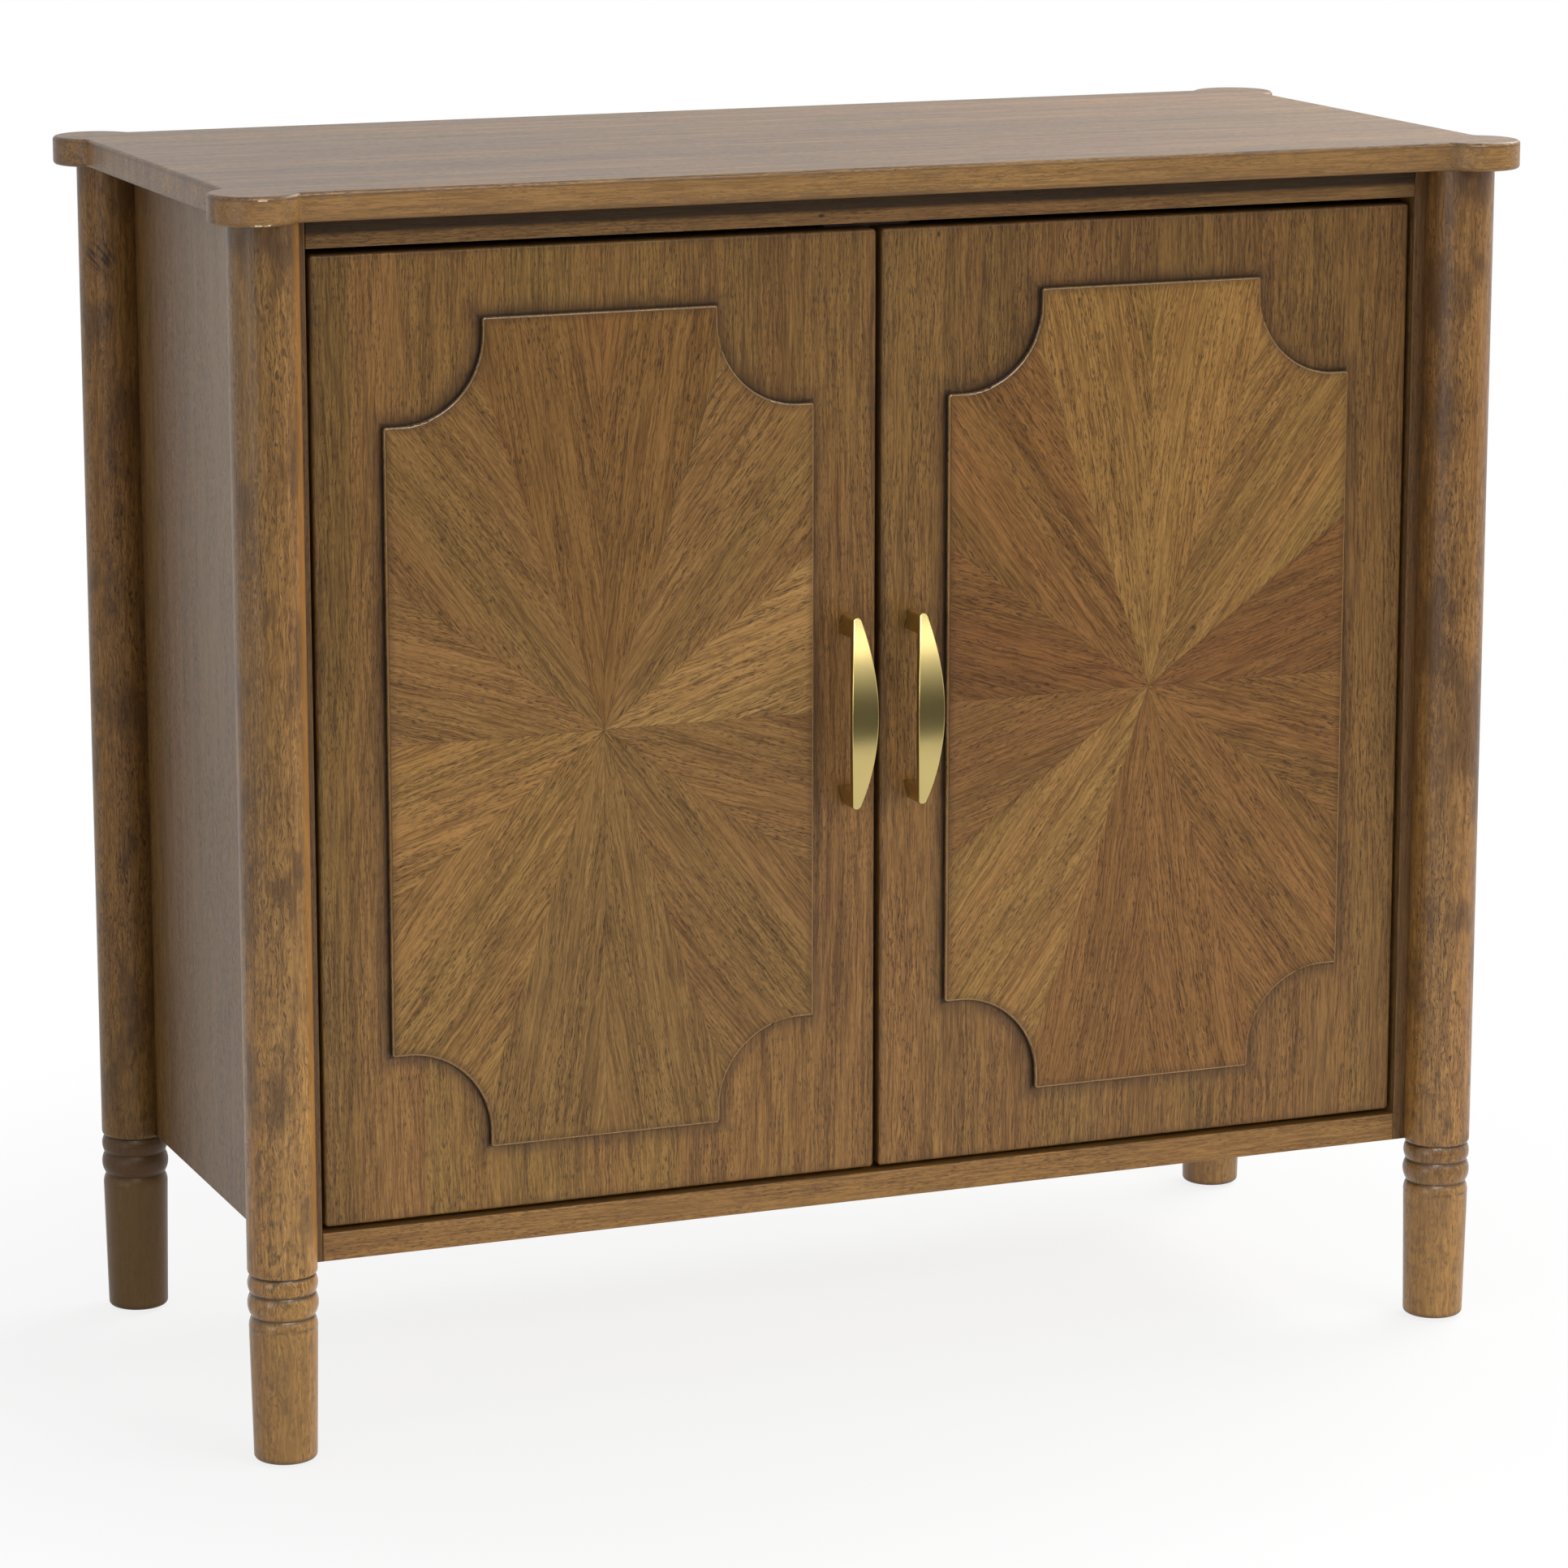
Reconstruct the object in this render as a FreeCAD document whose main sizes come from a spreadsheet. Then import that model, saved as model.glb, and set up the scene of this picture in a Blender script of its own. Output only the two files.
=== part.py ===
"""Storage cabinet: two inset doors with raised sunburst plaques, between four turned posts.

Millimetres. X runs to the right of a person who faces the doors, Y to the back and Z up. The origin
is on the floor under the middle of the cabinet. What lies on the right is modelled, and the left
side is its mirror image.
"""
import FreeCAD, Part
import math
import os
import re

import Sketcher

# Driving sizes, each written once
SIZES = {
    # Case between the posts
    "top_height": 827,
    "case_width": 819,
    "case_depth": 341,
    "case_bottom": 128,
    "board_thickness": 19,
    "rail_thickness": 20,
    "rail_depth": 60,
    "lipping_depth": 22,
    "cleat_width": 20,
    "back_thickness": 6,
    "back_rebate": 8,
    "board_ease": 1,
    # Top with its four round ears
    "top_thickness": 19,
    "top_overhang": 21,
    "ear_radius": 29.2,
    "ear_offset": 7.5,
    "ear_cove": 4,
    "top_ease": 2.5,
    # Turned posts, their beads measured down from the underside of the case
    "post_radius": 22.8,
    "post_out_side": 11,
    "post_out_front": 8,
    "neck_drop": 1.3,
    "neck_rise": 3.3,
    "neck_curve": 4,
    "neck_radius": 21,
    "upper_bead_height": 12.3,
    "upper_bead_curve": 11.2,
    "waist_radius": 21.1,
    "lower_bead_height": 15.6,
    "lower_bead_curve": 14,
    "ankle_radius": 20.4,
    "shoulder_height": 6.8,
    "shoulder_curve": 12.5,
    "shoulder_radius": 22.4,
    "foot_radius": 20.7,
    "foot_round": 3,
    "glide_radius": 11,
    "glide_thickness": 2,
    "glide_nail_radius": 1.5,
    "glide_nail_length": 15,
    # Shelf on pins
    "shelf_thickness": 18,
    "shelf_rise": 308,
    "shelf_side_gap": 1.5,
    "shelf_front_gap": 12.5,
    "shelf_back_gap": 4.5,
    "pin_radius": 2.5,
    "pin_depth": 8,
    "pin_reach": 8,
    "pin_pitch": 32,
    "pin_bore_depth": 9,
    "pin_front_inset": 80,
    "pin_back_inset": 55,
    # Doors
    "door_thickness": 20,
    "door_recess": 3,
    "door_side_gap": 3,
    "door_middle_gap": 4,
    "door_bottom_gap": 3,
    "door_top_gap": 4.5,
    "door_corner": 2.5,
    "door_ease": 2,
    # Raised plaque with a cove at each corner, and its veneer
    "plaque_side_margin": 45.75,
    "plaque_end_margin": 43.75,
    "plaque_base": 5.4,
    "plaque_cove": 57,
    "plaque_step": 10,
    "plaque_tip": 2,
    "plaque_ease": 1.5,
    "veneer_thickness": 0.6,
    "veneer_inset": 1.6,
    # Bow handles
    "handle_inset": 21.6,
    "handle_length": 129,
    "handle_width": 18.8,
    "handle_end_width": 6,
    "handle_reach": 36.5,
    "handle_end_reach": 21,
    "handle_thickness": 4,
    "handle_foot": 13,
    "handle_tip": 3.1,
    "handle_ease": 0.8,
    # Concealed hinges
    "hinge_end": 95,
    "pivot_edge": 17.5,
    "pivot_depth": 10.5,
    "cup_edge": 22.5,
    "cup_radius": 17.4,
    "cup_wall": 1.2,
    "cup_depth": 13.5,
    "cup_bore_gap": 0.1,
    "rim_radius": 19,
    "rim_thickness": 1.2,
    "ear_plate_inset": 4,
    "ear_plate_width": 11,
    "ear_plate_length": 56,
    "ear_plate_corner": 3,
    "cup_screw_offset": 9.5,
    "cup_screw_pitch": 45,
    "hinge_pin_radius": 1.5,
    "hinge_pin_length": 32.6,
    "hinge_pin_gap": 0.05,
    "arm_thickness": 1.5,
    "arm_width": 14,
    "arm_throw": 16,
    "arm_rise": 23,
    "arm_length": 52,
    "arm_bend": 1,
    "plate_thickness": 2.5,
    "plate_start": 26,
    "plate_length": 50,
    "plate_width": 16,
    "wing_length": 20,
    "wing_span": 48,
    "wing_screw_pitch": 32,
    # Magnetic catch
    "catch_width": 60,
    "catch_height": 14,
    "catch_depth": 26,
    "catch_gap": 0.3,
    "magnet_width": 22,
    "magnet_height": 6,
    "magnet_depth": 10,
    "magnet_proud": 1,
    "magnet_spacing": 30,
    "strike_width": 20,
    "strike_height": 12,
    "strike_thickness": 1.5,
    "strike_top_gap": 1,
    # Dowels
    "case_dowel_radius": 4,
    "case_dowel_in_side": 12,
    "case_dowel_in_board": 18,
    "post_dowel_radius": 3,
    "post_dowel_in_side": 10,
    "post_dowel_in_post": 12,
    "post_dowel_inset": 6,
    "top_dowel_radius": 4,
    "top_dowel_in_post": 14,
    "top_dowel_in_top": 12,
    # Screws
    "long_screw_radius": 2,
    "long_screw_head": 4,
    "long_screw_sink": 2.2,
    "long_screw_length": 35,
    "short_screw_radius": 1.75,
    "short_screw_head": 3.5,
    "short_screw_sink": 2,
    "short_screw_length": 16,
    "catch_screw_length": 28,
    "arm_screw_radius": 2,
    "arm_screw_head": 4,
    "arm_screw_head_height": 1.6,
    "arm_screw_place": 40,
    "handle_screw_radius": 2,
    "handle_screw_head": 4,
    "handle_screw_head_height": 2.2,
    "handle_screw_grip": 9,
    # How far a cutting shape runs past what it cuts
    "overrun": 1,
}

# Places worked out from the driving sizes
PLACES = {
    "half_width": "case_width / 2",
    "half_depth": "case_depth / 2",
    "case_top": "top_height - top_thickness",
    "inner_side": "half_width - board_thickness",
    "floor_top": "case_bottom + board_thickness",
    "lipping_back": "-half_depth + lipping_depth",
    "rail_bottom": "case_top - rail_thickness",
    "rail_back": "-half_depth + rail_depth",
    "back_front": "half_depth - back_thickness",
    "back_side": "inner_side + back_rebate",
    "rear_rail_front": "back_front - rail_depth",
    "cleat_side": "inner_side - cleat_width",
    "post_side": "half_width + post_out_side",
    "post_front": "half_depth + post_out_front",
    "top_side": "post_side + top_overhang",
    "top_front": "post_front + top_overhang",
    "neck_height": "case_bottom - neck_drop",
    "waist_height": "neck_height - upper_bead_height",
    "ankle_height": "waist_height - lower_bead_height",
    "knee_height": "ankle_height - shoulder_height",
    "shelf_bottom": "floor_top + shelf_rise",
    "door_front": "-half_depth + door_recess",
    "door_back": "door_front + door_thickness",
    "door_outer": "inner_side - door_side_gap",
    "door_inner": "door_middle_gap / 2",
    "door_bottom": "floor_top + door_bottom_gap",
    "door_top": "rail_bottom - door_top_gap",
    "door_middle": "(door_outer + door_inner) / 2",
    "door_centre": "(door_top + door_bottom) / 2",
    "plaque_width": "door_outer - door_inner - 2 * plaque_side_margin",
    "plaque_height": "door_top - door_bottom - 2 * plaque_end_margin",
    "handle_side": "door_inner + handle_inset",
    "handle_half": "handle_length / 2",
    "handle_rise": "handle_reach - handle_end_reach",
    "bow_radius": "(handle_half ^ 2 + handle_rise ^ 2) / (2 * handle_rise)",
    "handle_swell": "(handle_width - handle_end_width) / 2",
    "tip_height": "handle_half - handle_tip + sqrt(handle_tip ^ 2 - (handle_end_width / 2) ^ 2)",
    "lens_radius": "(tip_height ^ 2 + handle_swell ^ 2) / (2 * handle_swell)",
    "tail_reach": "sqrt(bow_radius ^ 2 - (handle_half + overrun) ^ 2) - bow_radius + handle_reach",
    "leg_inside": "handle_half - handle_foot",
    "inner_bow": "bow_radius - handle_thickness",
    "leg_reach": "sqrt(inner_bow ^ 2 - leg_inside ^ 2) - bow_radius + handle_reach",
    "pivot_side": "door_outer - pivot_edge",
    "pivot_front": "door_front + pivot_depth",
    "pivot_to_back": "door_thickness - pivot_depth",
    "pivot_to_side": "inner_side - pivot_side",
    "cup_shift": "cup_edge - pivot_edge",
    "arm_seat": "pivot_to_side - plate_thickness",
    "upper_hinge": "door_top - hinge_end",
    "lower_hinge": "door_bottom + hinge_end",
    "strike_side": "magnet_spacing / 2",
    "strike_middle": "door_top - strike_top_gap - strike_height / 2",
    "catch_front": "door_back + strike_thickness + catch_gap + magnet_proud",
}

# Where fasteners sit, as shares of the half length or the height of what they hold
BOARD_DOWEL_SHARES = (-0.62, 0, 0.62)
RAIL_DOWEL_SHARES = (-0.4, 0.4)
POST_DOWEL_SHARES = (0.1, 0.5, 0.9)
RAIL_SCREW_SHARES = (-0.55, 0.55)
CLEAT_SCREW_SHARES = (-0.75, 0.75)
TOP_SCREW_SHARES = (-0.35, 0.35)
BACK_SCREW_SHARES = (-0.65, 0, 0.65)
BACK_SIDE_SHARES = (0.25, 0.65)
CATCH_SCREW_SHARES = (-0.8, 0.8)

# The veneer leaves of one quarter of a plaque end at these angles above the horizontal
LEAF_ANGLES = (0, 35.5, 71, 90)
PIN_ROWS = (-2, -1, 0, 1, 2)

# How near two places are when they count as one, and how near an edge's middle stands to its place
SAME_PLACE = 0.01
NEARBY = 0.1

LEFT_RIGHT = (-1, 1)
UP = FreeCAD.Vector(0, 0, 1)
DOWN = FreeCAD.Vector(0, 0, -1)
RIGHT = FreeCAD.Vector(1, 0, 0)
FRONT = FreeCAD.Vector(0, -1, 0)
ORIGIN = FreeCAD.Vector(0, 0, 0)

doc = FreeCAD.newDocument("storage_cabinet")
pieces = {}


def fill_sheet(name, rows):
    """A spreadsheet with one row a size: its name, and its value under that name as alias."""
    sheet = doc.addObject("Spreadsheet::Sheet", name)
    for row, (alias, content) in enumerate(rows, start=1):
        sheet.set(f"A{row}", alias)
        sheet.set(f"B{row}", content)
        sheet.setAlias(f"B{row}", alias)
    doc.recompute()
    return sheet


def with_sheets(text, own_places=False):
    """The formula with each size's name led by the name of its sheet."""
    def lead(match):
        word = match.group(0)
        if word in SIZES:
            return "Sizes." + word
        if word in PLACES and not own_places:
            return "Places." + word
        return word
    return re.sub(r"[a-z_]+", lead, text)


sizes = fill_sheet("Sizes", [(alias, str(size)) for alias, size in SIZES.items()])
places = fill_sheet("Places", [(alias, "=" + with_sheets(text, True)) for alias, text in PLACES.items()])


def worth(text):
    """The number that a formula of named sizes gives."""
    return float(sizes.evalExpression(with_sheets(text)))


def bind(item, formulas):
    """Binds properties of a document object to formulas of named sizes."""
    for name, text in formulas.items():
        item.setExpression(name, with_sheets(text))


# Sketches and features

def new_body(label, side="0", front="0", height="0"):
    """An empty body whose own origin stands at the given place."""
    body = doc.addObject("PartDesign::Body", label)
    body.Label = label
    bind(body, {"Placement.Base.x": side, "Placement.Base.y": front, "Placement.Base.z": height})
    return body


def new_sketch(body, role, level="0"):
    """A sketch on one of the body's origin planes, moved to a level along X, Y or Z."""
    sketch = body.newObject("Sketcher::SketchObject", body.Name + "_sketch")
    plane = next(item for item in body.Origin.OriginFeatures if item.Role == role)
    sketch.AttachmentSupport = [(plane, "")]
    sketch.MapMode = "FlatFace"
    along = f"-({level})" if role == "XZ_Plane" else level
    bind(sketch, {"AttachmentOffset.Base.z": along})
    return sketch


def arc_between(start, stop, radius):
    """The shorter arc between two points: a positive radius turns left, a negative one right."""
    across = FreeCAD.Vector(stop[0] - start[0], stop[1] - start[1], 0)
    turn = math.copysign(1, radius)
    rise = math.sqrt(radius ** 2 - (across.Length / 2) ** 2)
    left = FreeCAD.Vector(-across.y, across.x, 0).normalize()
    centre = FreeCAD.Vector(*start, 0) + across / 2 + left * (turn * rise)
    angles = [math.atan2(y - centre.y, x - centre.x) for x, y in (start, stop)]
    if turn < 0:
        angles.reverse()
    if angles[1] < angles[0]:
        angles[1] += 2 * math.pi
    return Part.ArcOfCircle(Part.Circle(centre, UP, abs(radius)), angles[0], angles[1])


def hold(sketch, kind, axis, edge, end, text, number):
    """Holds one coordinate of an edge's end point at a formula of named sizes."""
    if text == "0":
        sketch.addConstraint(Sketcher.Constraint("PointOnObject", edge, end, axis))
        return
    place = sketch.addConstraint(Sketcher.Constraint(kind, -1, 1, edge, end, number))
    sketch.setExpression(f"Constraints[{place}]", with_sheets(text))


def outline(sketch, points):
    """A closed outline. A third entry of a point is the radius of the arc to the next point."""
    flat = [(worth(point[0]), worth(point[1])) for point in points]
    ends = []
    for number, point in enumerate(points):
        start, stop = flat[number], flat[(number + 1) % len(flat)]
        if len(point) == 2:
            edge = sketch.addGeometry(Part.LineSegment(FreeCAD.Vector(*start, 0), FreeCAD.Vector(*stop, 0)))
            ends.append((edge, 1, 2))
            continue
        radius = worth(point[2])
        edge = sketch.addGeometry(arc_between(start, stop, radius))
        ends.append((edge, 1, 2) if radius > 0 else (edge, 2, 1))
        place = sketch.addConstraint(Sketcher.Constraint("Radius", edge, abs(radius)))
        sketch.setExpression(f"Constraints[{place}]", with_sheets(point[2].lstrip("-")))
    for number, point in enumerate(points):
        edge, first, last = ends[number]
        after, begin, _ = ends[(number + 1) % len(ends)]
        sketch.addConstraint(Sketcher.Constraint("Coincident", edge, last, after, begin))
        hold(sketch, "DistanceX", -2, edge, first, point[0], flat[number][0])
        hold(sketch, "DistanceY", -1, edge, first, point[1], flat[number][1])


def ring(sketch, across, up, radius):
    """A circle whose centre and radius are formulas of named sizes."""
    centre = FreeCAD.Vector(worth(across), worth(up), 0)
    edge = sketch.addGeometry(Part.Circle(centre, UP, worth(radius)))
    hold(sketch, "DistanceX", -2, edge, 3, across, centre.x)
    hold(sketch, "DistanceY", -1, edge, 3, up, centre.y)
    place = sketch.addConstraint(Sketcher.Constraint("Radius", edge, worth(radius)))
    sketch.setExpression(f"Constraints[{place}]", with_sheets(radius))


def rectangle(left, right, low, high):
    """The four corners of a rectangle, for an outline."""
    return [(left, low), (right, low), (right, high), (left, high)]


def pad(body, sketch, length, reverse=False):
    """Adds the sketch's area, swept along its normal or against it."""
    feature = body.newObject("PartDesign::Pad", body.Name + "_pad")
    feature.Profile = sketch
    feature.Reversed = reverse
    bind(feature, {"Length": length})


def pocket(body, sketch, length, reverse=False):
    """Takes the sketch's area away, swept against its normal or along it, and sees that it cuts."""
    doc.recompute()
    before = body.Shape.Volume
    feature = body.newObject("PartDesign::Pocket", body.Name + "_pocket")
    feature.Profile = sketch
    feature.Reversed = reverse
    bind(feature, {"Length": length})
    doc.recompute()
    if body.Shape.Volume >= before:
        raise RuntimeError(f"{body.Label}: a pocket cuts nothing")


def ease(body, radius, wanted):
    """Rounds the edges that wanted picks."""
    doc.recompute()
    base = body.Tip
    names = [f"Edge{number}" for number, edge in enumerate(base.Shape.Edges, start=1) if wanted(edge)]
    feature = body.newObject("PartDesign::Fillet", body.Name + "_fillet")
    feature.Base = (base, names)
    bind(feature, {"Radius": radius})


def lies_at(edge, axis, place):
    """Whether the whole edge lies at one place along an axis."""
    low = getattr(edge.BoundBox, axis + "Min")
    high = getattr(edge.BoundBox, axis + "Max")
    return abs(low - place) < SAME_PLACE and abs(high - place) < SAME_PLACE


def runs_along(edge, axis):
    """Whether the edge is straight and runs along one axis."""
    return all(getattr(edge.BoundBox, other + "Length") < SAME_PLACE for other in "XYZ" if other != axis)


# Pieces

def keep(label, item):
    """Counts a document object as a piece of the cabinet."""
    item.Label = label
    pieces[label] = item
    return item


def fitted(label, blank, *cutters):
    """The blank with room cut for each of the pieces that pass into it."""
    blank.Label = label + "_blank"
    for cutter in cutters:
        cut = doc.addObject("Part::Cut", label)
        cut.Base = blank
        cut.Tool = cutter
        blank = cut
    return keep(label, blank)


def mirrored(label, source):
    """The mirror image of a piece in the cabinet's middle plane."""
    image = doc.addObject("Part::Mirroring", label)
    image.Source = source
    image.Base = ORIGIN
    image.Normal = RIGHT
    return keep(label, image)


def board(label, low, high, eased=None):
    """A rectangular board between two corners, each given as (x, y, z)."""
    body = new_body(label)
    sketch = new_sketch(body, "XY_Plane", low[2])
    outline(sketch, rectangle(low[0], high[0], low[1], high[1]))
    pad(body, sketch, f"({high[2]}) - ({low[2]})")
    if eased:
        ease(body, "board_ease", eased)
    return body


def cluster(label, solids):
    """Separate solids under one name."""
    item = doc.addObject("Part::Feature", label)
    item.Shape = Part.makeCompound(solids)
    return item


def group(label, solids):
    """Separate solids that are a piece of the cabinet together."""
    return keep(label, cluster(label, solids))


def turned(profile):
    """A solid turned about Z from (radius, height) pairs."""
    corners = [FreeCAD.Vector(radius, 0, height) for radius, height in profile]
    return Part.Face(Part.makePolygon(corners + corners[:1])).revolve(ORIGIN, UP, 360)


def sunk_screw(kind, length=None):
    """A countersunk screw that points up Z, the flat of its head at the origin."""
    shank, head = worth(kind + "_radius"), worth(kind + "_head")
    sink = worth(kind + "_sink")
    end = worth(length or kind + "_length")
    return turned([(0, 0), (head, 0), (shank, sink), (shank, end - shank), (0, end)])


def pan_screw(kind, grip):
    """A pan-headed screw that points up Z, the underside of its head at the origin."""
    shank, head = worth(kind + "_radius"), worth(kind + "_head")
    top = worth(kind + "_head_height")
    cap = [(0, -top), (head - top / 2, -top), (head, -top / 2), (head, 0)]
    return turned(cap + [(shank, 0), (shank, grip), (0, grip)])


def dowel(kind, first, second):
    """A dowel along Z that goes the first length down and the second up from the origin."""
    low = worth(f"{kind}_{first}")
    return Part.makeCylinder(worth(kind + "_radius"), low + worth(f"{kind}_{second}"), DOWN * low, UP)


def placed(solid, side, front, height, way=UP):
    """A copy of the solid at a place, its Z axis turned to point the given way."""
    copy = solid.copy()
    copy.Placement = FreeCAD.Placement(FreeCAD.Vector(side, front, height), FreeCAD.Rotation(UP, way))
    return copy


def span(share, low, high):
    """The place at a share of the way from one formula to another."""
    return worth(low) + share * (worth(high) - worth(low))


def off_middle(share, low, high):
    """The place at a share of the half length, counted from the middle between two formulas."""
    return span((1 + share) / 2, low, high)


# Dowels and screws of the case

def make_case_dowels():
    """Dowels from the side panels into the bottom panel and both top rails."""
    pin = dowel("case_dowel", "in_board", "in_side")
    boards = (
        (BOARD_DOWEL_SHARES, "lipping_back", "back_front", "case_bottom + board_thickness / 2"),
        (RAIL_DOWEL_SHARES, "-half_depth", "rail_back", "case_top - rail_thickness / 2"),
        (RAIL_DOWEL_SHARES, "rear_rail_front", "back_front", "case_top - rail_thickness / 2"),
    )
    solids = []
    for shares, low, high, height in boards:
        for share in shares:
            front = off_middle(share, low, high)
            for hand in LEFT_RIGHT:
                solids.append(placed(pin, hand * worth("inner_side"), front, worth(height), RIGHT * hand))
    return group("case_dowels", solids)


def make_post_dowels():
    """Dowels from the side panels into the posts."""
    pin = dowel("post_dowel", "in_side", "in_post")
    across = worth("half_depth - post_dowel_inset")
    solids = []
    for share in POST_DOWEL_SHARES:
        height = span(share, "case_bottom", "case_top")
        for hand in LEFT_RIGHT:
            for end in LEFT_RIGHT:
                solids.append(placed(pin, hand * worth("half_width"), end * across, height, RIGHT * hand))
    return group("post_dowels", solids)


def at_posts(solid, height):
    """Four copies of a solid on the axes of the posts."""
    side, front, level = worth("post_side"), worth("post_front"), worth(height)
    return [placed(solid, hand * side, end * front, level) for hand in LEFT_RIGHT for end in LEFT_RIGHT]


def make_top_screws():
    """Screws up through the rails and cleats into the top."""
    screw = sunk_screw("long_screw")
    spots = []
    for share in RAIL_SCREW_SHARES:
        side = off_middle(share, "-inner_side", "inner_side")
        spots.append((side, span(0.5, "-half_depth", "rail_back")))
        spots.append((side, span(0.5, "rear_rail_front", "back_front")))
    for share in TOP_SCREW_SHARES:
        front = off_middle(share, "rail_back", "rear_rail_front")
        spots += [(hand * worth("inner_side - cleat_width / 2"), front) for hand in LEFT_RIGHT]
    return group("top_screws", [placed(screw, side, front, worth("rail_bottom")) for side, front in spots])


def make_cleat_screws():
    """Screws from each cleat into its side panel."""
    screw = sunk_screw("long_screw")
    side, height = worth("cleat_side"), worth("case_top - rail_thickness / 2")
    solids = []
    for share in CLEAT_SCREW_SHARES:
        front = off_middle(share, "rail_back", "rear_rail_front")
        solids += [placed(screw, hand * side, front, height, RIGHT * hand) for hand in LEFT_RIGHT]
    return group("cleat_screws", solids)


def make_back_screws():
    """Screws through the back panel into the bottom panel, the rear rail and the side panels."""
    screw = sunk_screw("short_screw")
    spots = []
    for share in BACK_SCREW_SHARES:
        side = off_middle(share, "-inner_side", "inner_side")
        spots.append((side, worth("case_bottom + board_thickness / 2")))
        spots.append((side, worth("case_top - rail_thickness / 2")))
    for share in BACK_SIDE_SHARES:
        height = span(share, "case_bottom", "case_top")
        spots += [(hand * worth("inner_side + back_rebate / 2"), height) for hand in LEFT_RIGHT]
    solids = [placed(screw, side, worth("half_depth"), height, FRONT) for side, height in spots]
    return group("back_panel_screws", solids)


def make_glides():
    """Nail-on glides under the four feet."""
    disc, thick = worth("glide_radius"), worth("glide_thickness")
    nail, tip = worth("glide_nail_radius"), worth("glide_nail_length")
    plate = [(0, 0), (disc - thick / 2, 0), (disc, thick)]
    glide = turned(plate + [(nail, thick), (nail, tip - nail), (0, tip)])
    return group("foot_glides", at_posts(glide, "0"))


# Case

def make_post(label, end, *cutters):
    """A post on the right: a turned shaft with two beads and a tapered foot, let in over the case corner."""
    body = new_body(label, "post_side", f"{end} * post_front")
    sketch = new_sketch(body, "XZ_Plane")
    outline(sketch, [
        ("0", "glide_thickness"),
        ("foot_radius - foot_round", "glide_thickness", "foot_round"),
        ("foot_radius", "glide_thickness + foot_round"),
        ("shoulder_radius", "knee_height", "shoulder_curve"),
        ("ankle_radius", "ankle_height", "lower_bead_curve"),
        ("waist_radius", "waist_height", "upper_bead_curve"),
        ("neck_radius", "neck_height", "neck_curve"),
        ("post_radius", "neck_height + neck_rise"),
        ("post_radius", "case_top"),
        ("0", "case_top"),
    ])
    turn = body.newObject("PartDesign::Revolution", label + "_turning")
    turn.Profile = sketch
    turn.ReferenceAxis = (sketch, ["V_Axis"])
    turn.Angle = 360
    return fitted(label, body, *cutters)


def make_top(*cutters):
    """The top: one board whose corners swell into round ears over the posts."""
    body = new_body("top_panel")
    plate = new_sketch(body, "XY_Plane", "case_top")
    outline(plate, rectangle("-top_side", "top_side", "-top_front", "top_front"))
    pad(body, plate, "top_thickness")
    ears = new_sketch(body, "XY_Plane", "case_top")
    for hand in LEFT_RIGHT:
        for end in LEFT_RIGHT:
            centre = (f"{hand} * (post_side + ear_offset)", f"{end} * (post_front + ear_offset)")
            ring(ears, *centre, "ear_radius")
    pad(body, ears, "top_thickness")
    ease(body, "ear_cove", lambda edge: runs_along(edge, "Z"))
    levels = (worth("case_top"), worth("top_height"))
    ease(body, "top_ease", lambda edge: any(lies_at(edge, "Z", level) for level in levels))
    return fitted("top_panel", body, *cutters)


def front_arrises(edge):
    """The long edges on the front of a case board."""
    return lies_at(edge, "Y", worth("-half_depth")) and not runs_along(edge, "Y")


def pin_bores():
    """Rows of bores for shelf pins in the right side panel."""
    bore = Part.makeCylinder(worth("pin_radius"), worth("pin_bore_depth + overrun"), ORIGIN, RIGHT)
    bores = []
    for number in PIN_ROWS:
        height = worth("shelf_bottom - pin_radius") + number * worth("pin_pitch")
        for front in ("-half_depth + pin_front_inset", "half_depth - pin_back_inset"):
            bores.append(placed(bore, worth("inner_side - overrun"), worth(front), height))
    return cluster("pin_bores", bores)


def make_shelf_pins():
    """Four pins under the shelf, with rounded ends."""
    radius, depth, reach = worth("pin_radius"), worth("pin_depth"), worth("pin_reach")
    round_end = [(0, -reach), (radius / 2, -reach), (radius, -reach + radius / 2)]
    pin = turned(round_end + [(radius, depth), (0, depth)])
    height = worth("shelf_bottom - pin_radius")
    solids = []
    for front in ("-half_depth + pin_front_inset", "half_depth - pin_back_inset"):
        for hand in LEFT_RIGHT:
            solids.append(placed(pin, hand * worth("inner_side"), worth(front), height, RIGHT * hand))
    return group("shelf_pins", solids)


# Hinges, each built about its pivot: toward the middle of the door is -X and into the case is +Y

def make_cup(label, height, pin):
    """The hinge's cup: a round pot with a rim and a screw plate, sunk in the back of the door."""
    body = new_body(label, "pivot_side", "pivot_front", height)
    barrel = new_sketch(body, "XZ_Plane", "pivot_to_back")
    ring(barrel, "-cup_shift", "0", "cup_radius")
    pad(body, barrel, "cup_depth")
    rim = new_sketch(body, "XZ_Plane", "pivot_to_back")
    ring(rim, "-cup_shift", "0", "rim_radius")
    pad(body, rim, "rim_thickness", reverse=True)
    wing = new_sketch(body, "XZ_Plane", "pivot_to_back")
    near, end = "-cup_shift - ear_plate_inset", "ear_plate_length / 2"
    outline(wing, rectangle(f"{near} - ear_plate_width", near, f"-{end}", end))
    pad(body, wing, "rim_thickness", reverse=True)
    ease(body, "ear_plate_corner", lambda edge: runs_along(edge, "Y") and at_height(edge, end))
    hollow = new_sketch(body, "XZ_Plane", "pivot_to_back + rim_thickness")
    ring(hollow, "-cup_shift", "0", "cup_radius - cup_wall")
    pocket(body, hollow, "rim_thickness + cup_depth - cup_wall", reverse=True)
    return fitted(label, body, pin, pieces["right_hinge_cup_screws"])


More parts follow.
